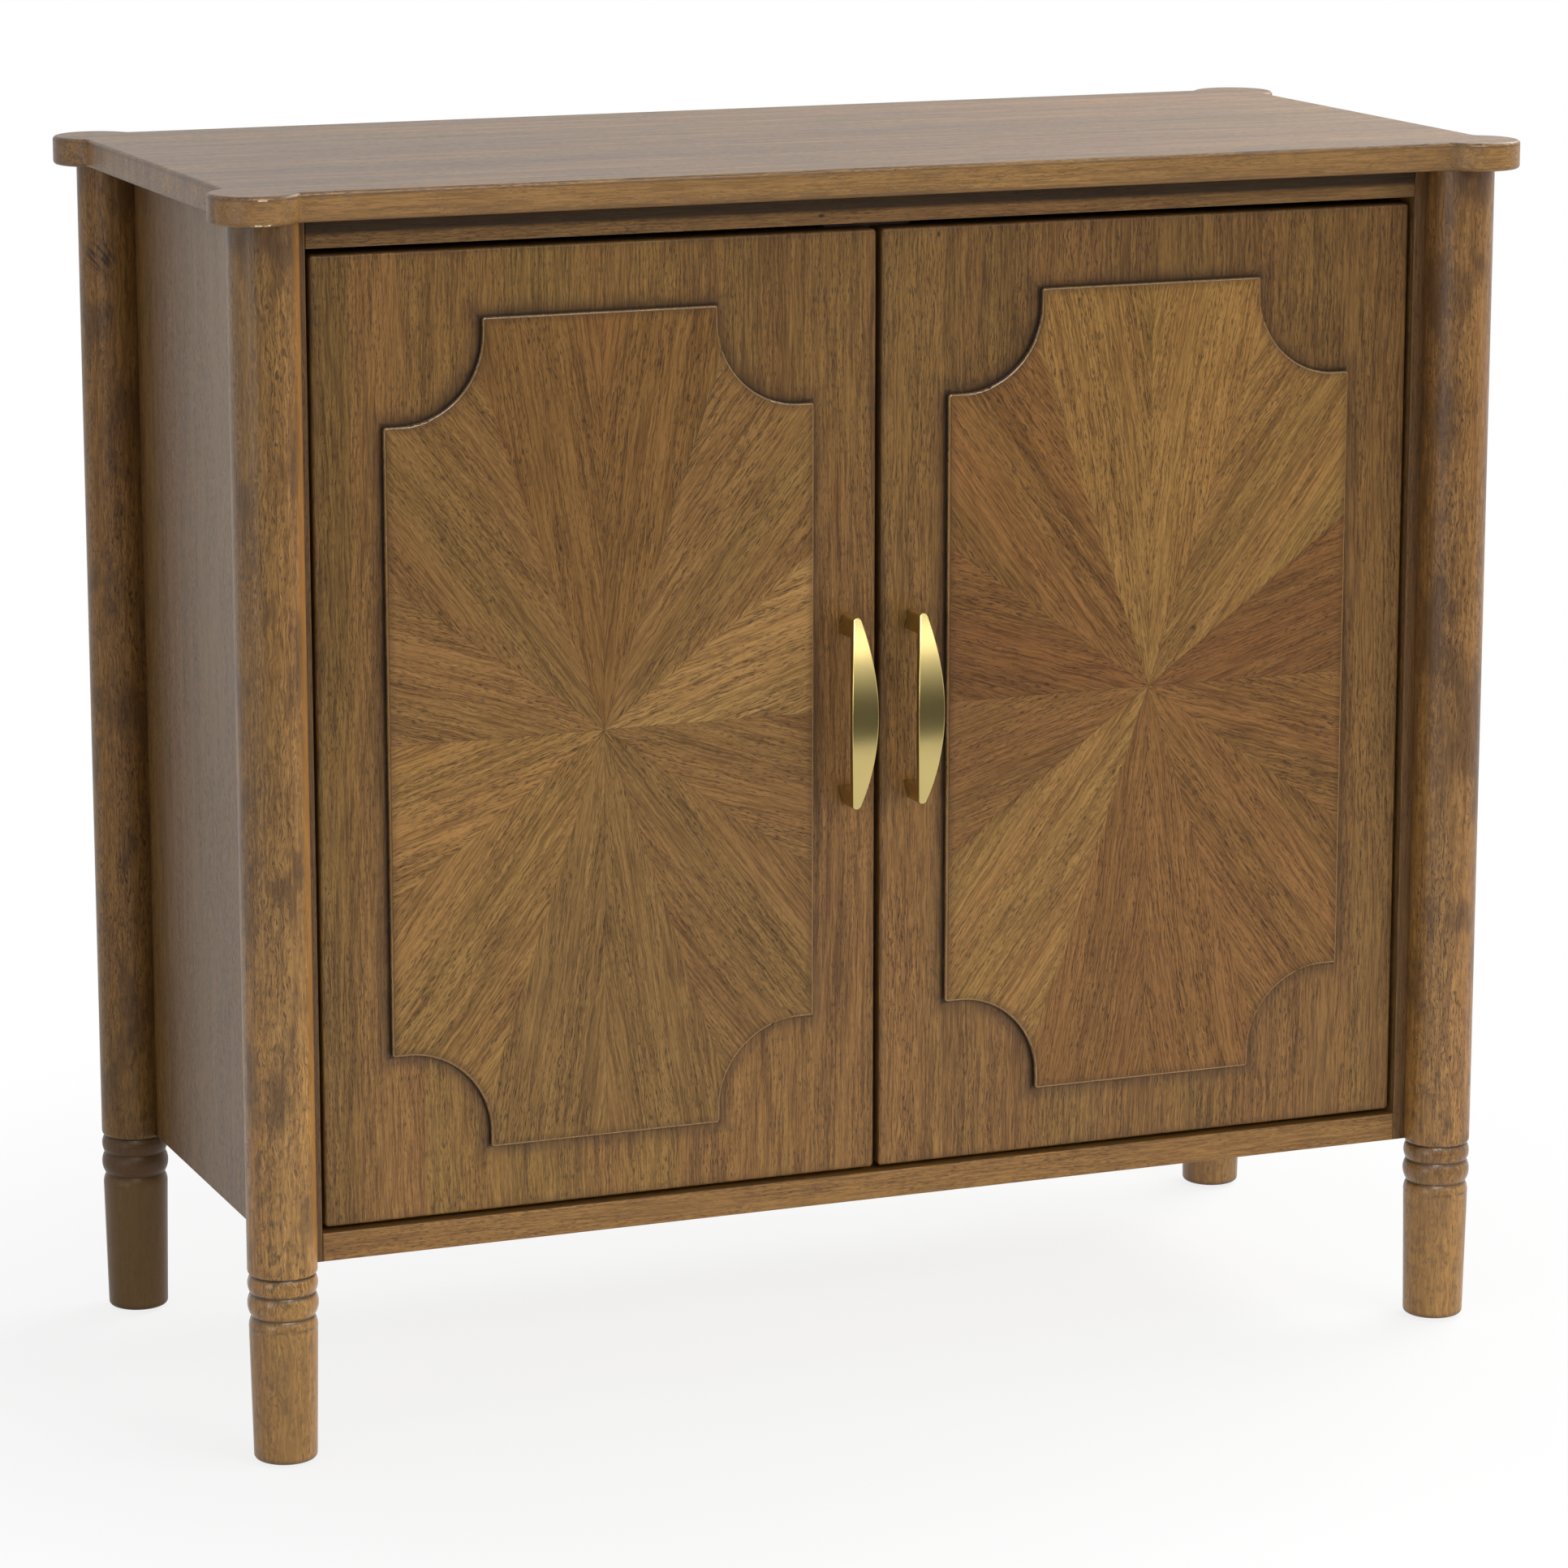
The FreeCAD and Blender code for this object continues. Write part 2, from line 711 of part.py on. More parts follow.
def make_arm(label, height, screws):
    """The hinge's arm: a bent strip from a knuckle on the pin, round the door's edge, to its plate."""
    body = new_body(label, "pivot_side", "pivot_front", height)
    bottom = "-arm_width / 2"
    half = "arm_thickness / 2"
    strip = new_sketch(body, "XY_Plane", bottom)
    outline(strip, [
        ("0", f"-{half}"),
        (f"-arm_throw - {half}", f"-{half}"),
        (f"-arm_throw - {half}", f"arm_rise + {half}"),
        ("arm_seat - arm_thickness", f"arm_rise + {half}"),
        ("arm_seat - arm_thickness", "arm_rise + arm_length"),
        ("arm_seat", "arm_rise + arm_length"),
        ("arm_seat", f"arm_rise - {half}"),
        (f"-arm_throw + {half}", f"arm_rise - {half}"),
        (f"-arm_throw + {half}", half),
        ("0", half),
    ])
    pad(body, strip, "arm_width")
    inner = [("-arm_throw + arm_thickness / 2", "arm_thickness / 2"),
             ("-arm_throw + arm_thickness / 2", "arm_rise - arm_thickness / 2"),
             ("arm_seat - arm_thickness", "arm_rise + arm_thickness / 2")]
    outer = [("-arm_throw - arm_thickness / 2", "-arm_thickness / 2"),
             ("-arm_throw - arm_thickness / 2", "arm_rise + arm_thickness / 2"),
             ("arm_seat", "arm_rise - arm_thickness / 2")]
    for corners, radius in ((inner, "arm_bend"), (outer, "arm_bend + arm_thickness")):
        spots = [(worth(side), worth(front)) for side, front in corners]
        ease(body, radius, lambda edge: runs_along(edge, "Z") and is_near(edge, spots))
    knuckle = new_sketch(body, "XY_Plane", bottom)
    ring(knuckle, "0", "0", "hinge_pin_radius + hinge_pin_gap + arm_thickness / 2")
    pad(body, knuckle, "arm_width")
    bore = new_sketch(body, "XY_Plane", bottom)
    ring(bore, "0", "0", "hinge_pin_radius + hinge_pin_gap")
    pocket(body, bore, "arm_width", reverse=True)
    return fitted(label, body, screws)


def at_height(edge, height):
    """Whether the edge's middle stands at a height above or below the body's own origin."""
    return abs(abs(edge.CenterOfMass.z) - worth(height)) < NEARBY


def is_near(edge, spots):
    """Whether the edge stands at one of the (x, y) spots."""
    middle = edge.CenterOfMass
    return any(math.hypot(middle.x - side, middle.y - front) < NEARBY for side, front in spots)


def hinge_spots():
    """The hand, height and pivot of the four hinges."""
    return [(hand, worth(height)) for hand in LEFT_RIGHT for height in ("lower_hinge", "upper_hinge")]


def make_plates(*cutters):
    """Cross-shaped mounting plates of the hinges on the side panels."""
    start = worth("pivot_front + plate_start")
    middle = start + worth("plate_length / 2")
    solids = []
    for hand, height in hinge_spots():
        inner = min(hand * worth("pivot_side + arm_seat"), hand * worth("inner_side"))
        low = FreeCAD.Vector(inner, start, height - worth("plate_width / 2"))
        seat = Part.makeBox(worth("plate_thickness"), worth("plate_length"), worth("plate_width"), low)
        low = FreeCAD.Vector(inner, middle - worth("wing_length / 2"), height - worth("wing_span / 2"))
        wing = Part.makeBox(worth("plate_thickness"), worth("wing_length"), worth("wing_span"), low)
        solids.append(seat.fuse(wing).removeSplitter().Solids[0])
    return fitted("hinge_plates", cluster("hinge_plates", solids), *cutters)


def make_plate_screws():
    """Two screws a plate, above and below its arm."""
    screw = sunk_screw("short_screw")
    side = worth("pivot_side + arm_seat")
    middle = worth("pivot_front + plate_start + plate_length / 2")
    solids = []
    for hand, height in hinge_spots():
        for end in LEFT_RIGHT:
            level = height + end * worth("wing_screw_pitch / 2")
            solids.append(placed(screw, hand * side, middle, level, RIGHT * hand))
    return group("hinge_plate_screws", solids)


def make_arm_screws():
    """One screw through each arm into its plate."""
    screw = pan_screw("arm_screw", worth("arm_thickness + plate_thickness"))
    front = worth("pivot_front + arm_rise + arm_screw_place")
    side = worth("pivot_side + arm_seat - arm_thickness")
    solids = [placed(screw, hand * side, front, height, RIGHT * hand) for hand, height in hinge_spots()]
    return group("hinge_arm_screws", solids)


# Catch

def make_catch(rail_screws):
    """A double magnetic catch under the middle of the top front rail."""
    housing = board("catch_housing", ("-catch_width / 2", "catch_front", "rail_bottom - catch_height"),
                    ("catch_width / 2", "catch_front + catch_depth", "rail_bottom"))
    magnets = []
    width, depth, rise = worth("magnet_width"), worth("magnet_depth"), worth("magnet_height")
    front, height = worth("catch_front - magnet_proud"), worth("strike_middle - magnet_height / 2")
    for hand in LEFT_RIGHT:
        corner = FreeCAD.Vector(hand * worth("strike_side") - width / 2, front, height)
        magnets.append(Part.makeBox(width, depth, rise, corner))
    fitted("catch_housing", housing, group("catch_magnets", magnets), rail_screws)


def make_catch_screws():
    """Two screws up through the catch into the rail."""
    screw = sunk_screw("long_screw", "catch_screw_length")
    front, height = worth("catch_front + catch_depth / 2"), worth("rail_bottom - catch_height")
    sides = [off_middle(share, "-catch_width / 2", "catch_width / 2") for share in CATCH_SCREW_SHARES]
    return group("catch_screws", [placed(screw, side, front, height) for side in sides])


# Right door

def make_door_board(*cutters):
    """The door board, with rounded edges, and bores for the hinge cups in its back."""
    body = new_body("right_door_board")
    face = new_sketch(body, "XZ_Plane", "door_back")
    outline(face, rectangle("door_inner", "door_outer", "door_bottom", "door_top"))
    pad(body, face, "door_thickness")
    ease(body, "door_corner", lambda edge: runs_along(edge, "Y"))
    ease(body, "door_ease", lambda edge: lies_at(edge, "Y", worth("door_front")))
    bores = new_sketch(body, "XZ_Plane", "door_back")
    for height in ("lower_hinge", "upper_hinge"):
        ring(bores, "door_outer - cup_edge", height, "cup_radius + cup_bore_gap")
    pocket(body, bores, "cup_depth + cup_bore_gap", reverse=True)
    return fitted("right_door_board", body, *cutters)


def plaque_outline(inset):
    """The plaque's outline, a rectangle with a cove at each corner, moved inward by an inset."""
    side, end = f"(plaque_width / 2 - {inset})", f"(plaque_height / 2 - {inset})"
    near = f"(plaque_width / 2 - plaque_step - plaque_cove - {inset})"
    far = f"(plaque_height / 2 - plaque_step - plaque_cove - {inset})"
    lead, fall = "(plaque_width / 2 - plaque_step)", "(plaque_height / 2 - plaque_step)"
    curve = f"(plaque_cove + {inset})"
    quarter = [(near, end), (near, fall, curve), (lead, far), (side, far)]
    points = []
    for hand, rise, forward in ((1, 1, True), (1, -1, False), (-1, -1, True), (-1, 1, False)):
        corners = quarter if forward else turned_about(quarter)
        for corner in corners:
            across = f"door_middle + {hand} * {corner[0]}"
            up = f"door_centre + {rise} * {corner[1]}"
            points.append((across, up) + tuple(corner[2:]))
    return points


def turned_about(quarter):
    """The corners of a quarter in the opposite order, its arc still on the same run."""
    start, bend, lead, side = quarter
    return [side, (lead[0], lead[1], bend[2]), (bend[0], bend[1]), start]


def make_plaque():
    """The raised plaque: solid wood with rounded tips and an eased front edge."""
    body = new_body("right_door_overlay")
    face = new_sketch(body, "XZ_Plane", "door_front")
    outline(face, plaque_outline("0"))
    pad(body, face, "plaque_base")
    doc.recompute()
    side, end = worth("plaque_width / 2"), worth("plaque_height / 2")
    middle, centre = worth("door_middle"), worth("door_centre")

    def at_tip(edge):
        spot = edge.CenterOfMass
        at_side = abs(abs(spot.x - middle) - side) < NEARBY
        at_end = abs(abs(spot.z - centre) - end) < NEARBY
        return runs_along(edge, "Y") and (at_side or at_end)

    ease(body, "plaque_tip", at_tip)
    ease(body, "plaque_ease", lambda edge: lies_at(edge, "Y", worth("door_front - plaque_base")))
    return keep("right_door_overlay", body)


def make_veneers():
    """Twelve leaves of veneer that meet at the middle of the plaque."""
    sheet = new_body("veneer_sheet")
    face = new_sketch(sheet, "XZ_Plane", "door_front - plaque_base")
    outline(face, plaque_outline("veneer_inset"))
    pad(sheet, face, "veneer_thickness")
    doc.recompute()
    middle = FreeCAD.Vector(worth("door_middle"), worth("door_front - plaque_base"), worth("door_centre"))
    reach = worth("plaque_width + plaque_height")
    quarter = [math.radians(angle) for angle in LEAF_ANGLES]
    bounds = quarter + [math.pi - angle for angle in quarter[-2::-1]]
    bounds += [math.pi + angle for angle in bounds[1:]]
    leaves = []
    for low, high in zip(bounds, bounds[1:]):
        rays = [FreeCAD.Vector(math.cos(angle), 0, math.sin(angle)) * reach for angle in (low, high)]
        corners = [middle, middle + rays[0], middle + rays[1], middle]
        wedge = Part.Face(Part.makePolygon(corners)).extrude(FRONT * worth("veneer_thickness"))
        leaves.append(sheet.Shape.common(wedge).Solids[0])
    return group("right_sunburst_veneers", leaves)


def make_handle(screws):
    """The bow handle: an arched strip, lens-shaped from the front, on a leg at each end."""
    body = new_body("right_handle", "handle_side", "door_front", "door_centre")
    arch = new_sketch(body, "YZ_Plane", "-handle_width / 2")
    outline(arch, [
        ("-tail_reach", "-handle_half - overrun", "-bow_radius"),
        ("-tail_reach", "handle_half + overrun"),
        ("0", "handle_half + overrun"),
        ("0", "leg_inside"),
        ("-leg_reach", "leg_inside", "inner_bow"),
        ("-leg_reach", "-leg_inside"),
        ("0", "-leg_inside"),
        ("0", "-handle_half - overrun"),
    ])
    pad(body, arch, "handle_width")
    waste = new_sketch(body, "XZ_Plane")
    outline(waste, rectangle("-handle_width / 2 - overrun", "handle_width / 2 + overrun",
                             "-handle_half - 2 * overrun", "handle_half + 2 * overrun"))
    outline(waste, [
        ("-handle_end_width / 2", "-tip_height", "-lens_radius"),
        ("-handle_end_width / 2", "tip_height", "-handle_tip"),
        ("handle_end_width / 2", "tip_height", "-lens_radius"),
        ("handle_end_width / 2", "-tip_height", "-handle_tip"),
    ])
    pocket(body, waste, "handle_reach + overrun", reverse=True)
    front_line = worth("handle_thickness / 2 - handle_reach")
    ease(body, "handle_ease", lambda edge: edge.BoundBox.YMin < front_line)
    return fitted("right_handle", body, screws)


def make_handle_screws():
    """Two screws through the door into the legs of the handle."""
    screw = pan_screw("handle_screw", worth("door_thickness + handle_screw_grip"))
    side, back = worth("handle_side"), worth("door_back")
    heights = [worth(f"door_centre + {end} * (handle_half - handle_foot / 2)") for end in LEFT_RIGHT]
    return group("right_handle_screws", [placed(screw, side, back, height, FRONT) for height in heights])


def make_cup_screws():
    """Two screws a hinge cup, into the back of the door."""
    screw = sunk_screw("short_screw")
    side, back = worth("door_outer - cup_edge - cup_screw_offset"), worth("door_back + rim_thickness")
    solids = []
    for height in ("lower_hinge", "upper_hinge"):
        for end in LEFT_RIGHT:
            solids.append(placed(screw, side, back, worth(f"{height} + {end} * cup_screw_pitch / 2"), FRONT))
    return group("right_hinge_cup_screws", solids)


def make_hinge_pins():
    """The pins on which the door turns, across the cups."""
    length = worth("hinge_pin_length")
    pin = Part.makeCylinder(worth("hinge_pin_radius"), length, DOWN * (length / 2), UP)
    side, front = worth("pivot_side"), worth("pivot_front")
    heights = (worth("lower_hinge"), worth("upper_hinge"))
    return group("right_hinge_pins", [placed(pin, side, front, height) for height in heights])


def make_strike(screw):
    """The steel plate on the door's back that the catch holds."""
    low = ("strike_side - strike_width / 2", "door_back", "strike_middle - strike_height / 2")
    high = ("strike_side + strike_width / 2", "door_back + strike_thickness",
            "strike_middle + strike_height / 2")
    return fitted("right_strike_plate", board("right_strike_plate", low, high), screw)


def make_strike_screw():
    """The screw of the strike plate, into the back of the door."""
    screw = sunk_screw("short_screw")
    spot = [worth(place) for place in ("strike_side", "door_back + strike_thickness", "strike_middle")]
    return group("right_strike_screw", [placed(screw, *spot, FRONT)])


# Assembly

case_dowels = make_case_dowels()
post_dowels = make_post_dowels()
top_dowels = group("top_dowels", at_posts(dowel("top_dowel", "in_post", "in_top"), "case_top"))
top_screws = make_top_screws()
cleat_screws = make_cleat_screws()
back_screws = make_back_screws()
glides = make_glides()
shelf_pins = make_shelf_pins()
plate_screws = make_plate_screws()
arm_screws = make_arm_screws()
catch_screws = make_catch_screws()

case_block = board("case_block", ("-half_width", "-half_depth", "case_bottom"),
                   ("half_width", "half_depth", "case_top + overrun"))
front_post = make_post("front_right_post", -1, case_block, post_dowels, top_dowels, glides)
rear_post = make_post("rear_right_post", 1, case_block, post_dowels, top_dowels, glides)
mirrored("front_left_post", front_post)
mirrored("rear_left_post", rear_post)
make_top(top_dowels, top_screws)

back = board("back_panel", ("-back_side", "back_front", "case_bottom"),
             ("back_side", "half_depth", "case_top"))
fitted("back_panel", back, back_screws)
side = board("right_side_panel", ("inner_side", "-half_depth", "case_bottom"),
             ("half_width", "half_depth", "case_top"), front_arrises)
side_panel = fitted("right_side_panel", side, back, case_dowels, post_dowels, cleat_screws, back_screws,
                    plate_screws, pin_bores())
mirrored("left_side_panel", side_panel)
floor = board("bottom_panel", ("-inner_side", "lipping_back", "case_bottom"),
              ("inner_side", "back_front", "floor_top"))
fitted("bottom_panel", floor, case_dowels, back_screws)
lipping = board("bottom_front_rail", ("-inner_side", "-half_depth", "case_bottom"),
                ("inner_side", "lipping_back", "floor_top"), front_arrises)
keep("bottom_front_rail", lipping)
front_rail = board("top_front_rail", ("-inner_side", "-half_depth", "rail_bottom"),
                   ("inner_side", "rail_back", "case_top"), front_arrises)
fitted("top_front_rail", front_rail, case_dowels, top_screws, catch_screws)
rear_rail = board("top_rear_rail", ("-inner_side", "rear_rail_front", "rail_bottom"),
                  ("inner_side", "back_front", "case_top"))
fitted("top_rear_rail", rear_rail, case_dowels, top_screws, back_screws)
cleat = board("right_top_cleat", ("cleat_side", "rail_back", "rail_bottom"),
              ("inner_side", "rear_rail_front", "case_top"))
mirrored("left_top_cleat", fitted("right_top_cleat", cleat, top_screws, cleat_screws))
shelf = board("shelf", ("-inner_side + shelf_side_gap", "door_back + shelf_front_gap", "shelf_bottom"),
              ("inner_side - shelf_side_gap", "back_front - shelf_back_gap",
               "shelf_bottom + shelf_thickness"))
keep("shelf", shelf)
make_plates(plate_screws, arm_screws)
for level in ("lower", "upper"):
    arm = make_arm(f"right_{level}_hinge_arm", f"{level}_hinge", arm_screws)
    mirrored(f"left_{level}_hinge_arm", arm)
make_catch(catch_screws)

handle_screws = make_handle_screws()
cup_screws = make_cup_screws()
hinge_pins = make_hinge_pins()
strike_screw = make_strike_screw()
make_door_board(handle_screws, cup_screws, strike_screw)
make_plaque()
make_veneers()
make_handle(handle_screws)
for level in ("lower", "upper"):
    make_cup(f"right_{level}_hinge_cup", f"{level}_hinge", hinge_pins)
make_strike(strike_screw)
door_nodes = ("door_board", "door_overlay", "sunburst_veneers", "handle", "handle_screws", "lower_hinge_cup",
              "upper_hinge_cup", "hinge_cup_screws", "hinge_pins", "strike_plate", "strike_screw")
for name in door_nodes:
    mirrored("left_" + name, pieces["right_" + name])

# Check and write

doc.recompute()
for item in doc.Objects:
    if "Invalid" in item.State or "Error" in item.State:
        raise RuntimeError(f"{item.Label} failed: {item.State}")
for label, item in pieces.items():
    if item.Shape.isNull() or not item.Shape.isValid():
        raise RuntimeError(f"{label} has no valid shape")
os.makedirs("parts", exist_ok=True)
for label, item in pieces.items():
    item.Shape.exportStep(f"parts/{label}.step")
    print(label, len(item.Shape.Solids), round(item.Shape.Volume))
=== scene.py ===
"""Looks of the storage cabinet: stained wood, sunburst veneer and satin brass in a pale studio.

Metres, in the frame of the CAD model: X to the right, Y to the back, Z up, the floor at zero.
Each material is a node tree on Object coordinates, and a seed from the piece's name gives every
board its own grain.
"""
import math

import bpy
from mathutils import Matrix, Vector


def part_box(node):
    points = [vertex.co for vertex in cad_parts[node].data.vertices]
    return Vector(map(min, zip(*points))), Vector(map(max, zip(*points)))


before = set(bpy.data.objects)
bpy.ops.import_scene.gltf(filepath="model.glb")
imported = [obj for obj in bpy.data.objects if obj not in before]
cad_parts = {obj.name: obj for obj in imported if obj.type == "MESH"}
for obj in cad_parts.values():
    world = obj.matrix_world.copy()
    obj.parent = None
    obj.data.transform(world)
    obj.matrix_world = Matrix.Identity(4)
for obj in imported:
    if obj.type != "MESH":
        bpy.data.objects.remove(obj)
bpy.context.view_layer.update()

MM = 0.001

# Camera, at the photograph's viewing angle
CAMERA_PLACE = (-1.4319, -3.582, 1.222)
CAMERA_TURN = math.radians(21.79)
CAMERA_TILT = math.radians(12.317)
CAMERA_LENS = 130.95
SENSOR = 36.0
FARTHEST = 60.0

# Stains and bare woods, and colours of painted light and shade, as linear colours
CASE = (0.205, 0.101, 0.025)
PANEL = (0.15, 0.074, 0.022)
DOOR = (0.172, 0.085, 0.0185)
GOLD = (0.262, 0.142, 0.04)
HONEY = (0.232, 0.12, 0.03)
OLIVE = (0.196, 0.1, 0.027)
UMBER = (0.182, 0.084, 0.021)
RUSSET = (0.162, 0.069, 0.017)
# Colour of the painted orange light on a post
ORANGE_LIGHT = (0.4, 0.185, 0.05)
EDGE = (0.26, 0.135, 0.036)
# Grey of the painted sheen on the side panels
SHEEN_GREY = (0.36, 0.275, 0.185)
INSIDE = (0.34, 0.22, 0.12)
BEECH = (0.52, 0.37, 0.22)
BARE_WOOD = (0.72, 0.58, 0.36)
BACK_STAIN = (0.1, 0.062, 0.032)
# Dark stain, and the colour of painted shade
DARK_STAIN_AND_SHADE = (0.06, 0.028, 0.01)
PORE_STAIN = (0.022, 0.011, 0.005)
# Glaze, and the colour of painted shade in corners and under the top
GLAZE_AND_SHADE = (0.014, 0.008, 0.004)

# Metals and plastics, as linear colours
BRASS = (0.6, 0.475, 0.19)
NICKEL = (0.66, 0.63, 0.58)
STEEL = (0.62, 0.61, 0.59)
MAGNET = (0.42, 0.42, 0.43)
BROWN_PLASTIC = (0.09, 0.06, 0.045)
DARK_PLASTIC = (0.05, 0.045, 0.04)


def seed_of(name):
    """A number between 0 and 97 from a name, so that each piece is cut from another board."""
    return sum((place + 1) * ord(letter) for place, letter in enumerate(name)) % 97


class Shader:
    """Writes the node tree of one material; each method returns an output socket."""

    def __init__(self, name):
        self.material = bpy.data.materials.new(name)
        self.material.use_nodes = True
        self.tree = self.material.node_tree
        self.tree.nodes.clear()
        self.place = self.node("ShaderNodeTexCoord").outputs["Object"]
        self.x, self.y, self.z = self.node("ShaderNodeSeparateXYZ", {0: self.place}).outputs

    def node(self, kind, inputs=None, **settings):
        """A new node, with its settings and with values or links on its inputs."""
        made = self.tree.nodes.new(kind)
        for name, value in settings.items():
            setattr(made, name, value)
        for name, value in (inputs or {}).items():
            self.plug(made.inputs[name], value)
        return made

    def plug(self, socket, value):
        """Links a socket to an input, or writes a plain value on it."""
        if isinstance(value, bpy.types.NodeSocket):
            self.tree.links.new(value, socket)
        else:
            socket.default_value = value

    def math(self, operation, first, second=0.0):
        inputs = {0: first, 1: second}
        return self.node("ShaderNodeMath", inputs, operation=operation).outputs[0]

    def times(self, first, second):
        return self.math("MULTIPLY", first, second)

    def plus(self, first, second):
        return self.math("ADD", first, second)

    def minus(self, first, second):
        return self.math("SUBTRACT", first, second)

    def size(self, value):
        return self.math("ABSOLUTE", value)

    def vector(self, x, y, z):
        return self.node("ShaderNodeCombineXYZ", {0: x, 1: y, 2: z}).outputs[0]

    def spread(self, x, y, z):
        """The place, stretched by a factor along each axis."""
        return self.vector(self.times(self.x, x), self.times(self.y, y), self.times(self.z, z))

    def noise(self, vector, scale=1.0, detail=2.0, roughness=0.5):
        inputs = {"Vector": vector, "Scale": scale, "Detail": detail, "Roughness": roughness}
        return self.node("ShaderNodeTexNoise", inputs).outputs[0]

    def fade(self, value, low, high, bottom=0.0, top=1.0):
        """From bottom to top, as a smooth step while the value goes from low to high."""
        inputs = {"Value": value, "From Min": low, "From Max": high, "To Min": bottom, "To Max": top}
        return self.node("ShaderNodeMapRange", inputs, interpolation_type="SMOOTHSTEP").outputs[0]

    def mix(self, share, first, second, blend="MIX"):
        """The first colour with a share of the second blended over it."""
        made = self.node("ShaderNodeMix", data_type="RGBA", blend_type=blend)
        for name, value in ((0, share), (6, first), (7, second)):
            self.plug(made.inputs[name], (*value, 1.0) if isinstance(value, tuple) else value)
        return made.outputs[2]

    def tint(self, color, factor):
        """The colour times another colour, channel by channel."""
        return self.mix(1.0, color, factor, "MULTIPLY")

    def lit(self, color, light):
        """The colour made lighter or darker by a factor."""
        return self.tint(color, self.vector(light, light, light))

    def ramp(self, value, stops, interpolation="LINEAR"):
        """A colour ramp from (place, colour) stops."""
        made = self.node("ShaderNodeValToRGB", {0: value})
        band = made.color_ramp
        band.interpolation = interpolation
        while len(band.elements) < len(stops):
            band.elements.new(1.0)
        for element, (place, color) in zip(band.elements, stops):
            element.position = place
            element.color = (*color, 1.0)
        return made.outputs[0]

    def bump(self, height, distance, strength=1.0):
        inputs = {"Height": height, "Distance": distance, "Strength": strength}
        return self.node("ShaderNodeBump", inputs).outputs[0]

    def finish(self, color, roughness, normal=None, metallic=0.0, **plain):
        """The principled shader; plain values stay on its own sockets."""
        inputs = {"Base Color": color, "Roughness": roughness, "Metallic": metallic}
        shader = self.node("ShaderNodeBsdfPrincipled", inputs)
        for name, value in plain.items():
            shader.inputs[name.replace("_", " ")].default_value = value
        if normal:
            self.plug(shader.inputs["Normal"], normal)
        out = self.node("ShaderNodeOutputMaterial")
        self.tree.links.new(shader.outputs[0], out.inputs[0])
        return self.material


# Wood

# Noises of the grain: waves a metre along it and across it, detail and roughness.
# Broad streaks are 40 mm wide, the figure 5 mm and fibres 1.3 mm; pores are dashes of 0.6 by 5 mm.
BROAD = (0.9, 26.0, 2.0, 0.5)
FIGURE = (6.0, 190.0, 3.0, 0.6)
FIBRE = (30.0, 760.0, 3.0, 0.65)
PORES = (190.0, 1600.0, 1.0, 0.5)
PORE_CROWDS = (9.0, 70.0, 2.0, 0.5)
WARM_STREAKS = (1.3, 19.0, 1.0, 0.5)
# Shares of the broad streaks and of the figure in a board's tone; the rest is fibre
BROAD_SHARE = 0.16
FIGURE_SHARE = 0.24

# How strongly pores show on most boards, and on door faces
PORE_SHARE = 0.74
FINE_PORE_SHARE = 0.64

# What a stain's darkest tone loses of each channel, and what its lightest tone gains
TONE_LOSS = (0.46, 0.5, 0.54)
TONE_GAIN = (0.4, 0.46, 0.54)
# Factors of the greener and of the redder streaks
GREENER = (0.975, 1.012, 0.985)
REDDER = (1.03, 0.988, 1.01)


def bent(s, along, across, through, seed, curl):
    """The way across the grain, bent by a slow sway of 10 mm and by ripples as deep as the curl."""
    slow = s.vector(s.plus(s.times(along, 2.5), seed), s.times(across, 3.0), through)
    sway = s.noise(slow, 1.0, 1.0)
    across = s.plus(across, s.times(s.minus(sway, 0.5), 20 * MM))
    quick = s.vector(s.times(along, 70.0), s.times(across, 160.0), s.times(through, 160.0))
    ripple = s.noise(quick, 1.0, 1.0)
    return s.plus(across, s.times(s.minus(ripple, 0.5), 2.0 * curl))


def grain(s, along, across, through, seed, curl=1.4 * MM):
    """Tone, pores, fibre and warmth of one board, each from 0 to 1.

    Each is a noise stretched along the grain. The tone adds up broad streaks, figure and fibre, the
    pores crowd in some places, and the warmth parts redder wood from greener.
    """
    across = bent(s, along, across, through, seed, curl)

    def stretched(length, width, detail, roughness):
        side = s.plus(s.times(across, width), seed * 1.7)
        back = s.plus(s.times(through, width), seed * 0.9)
        return s.noise(s.vector(s.times(along, length), side, back), 1.0, detail, roughness)

    fibre = stretched(*FIBRE)
    tone = s.plus(s.times(stretched(*BROAD), BROAD_SHARE), s.times(stretched(*FIGURE), FIGURE_SHARE))
    tone = s.plus(tone, s.times(fibre, 1.0 - BROAD_SHARE - FIGURE_SHARE))
    crowd = s.fade(stretched(*PORE_CROWDS), 0.3, 0.6, 0.3, 1.0)
    pores = s.times(s.fade(stretched(*PORES), 0.54, 0.63), crowd)
    return s.fade(tone, 0.36, 0.64), pores, fibre, s.fade(stretched(*WARM_STREAKS), 0.35, 0.65)


def shades(contrast):
    """The factors that turn a stain into its dark, middle and light tones."""
    dark = tuple(1 - contrast * loss for loss in TONE_LOSS)
    light = tuple(1 + contrast * gain for gain in TONE_GAIN)
    return dark, (1.0, 1.0, 1.0), light


def tinted(s, color, tone, pores, warmth, contrast=1.0, pore_share=PORE_SHARE):
    """A stain over the wood: the stain times its tone, redder or greener in streaks, then dark pores."""
    dark, middle, light = shades(contrast)
    color = s.tint(color, s.ramp(tone, [(0.0, dark), (0.5, middle), (1.0, light)]))
    color = s.tint(color, s.mix(warmth, GREENER, REDDER))
    return s.mix(s.times(pores, pore_share), color, PORE_STAIN)


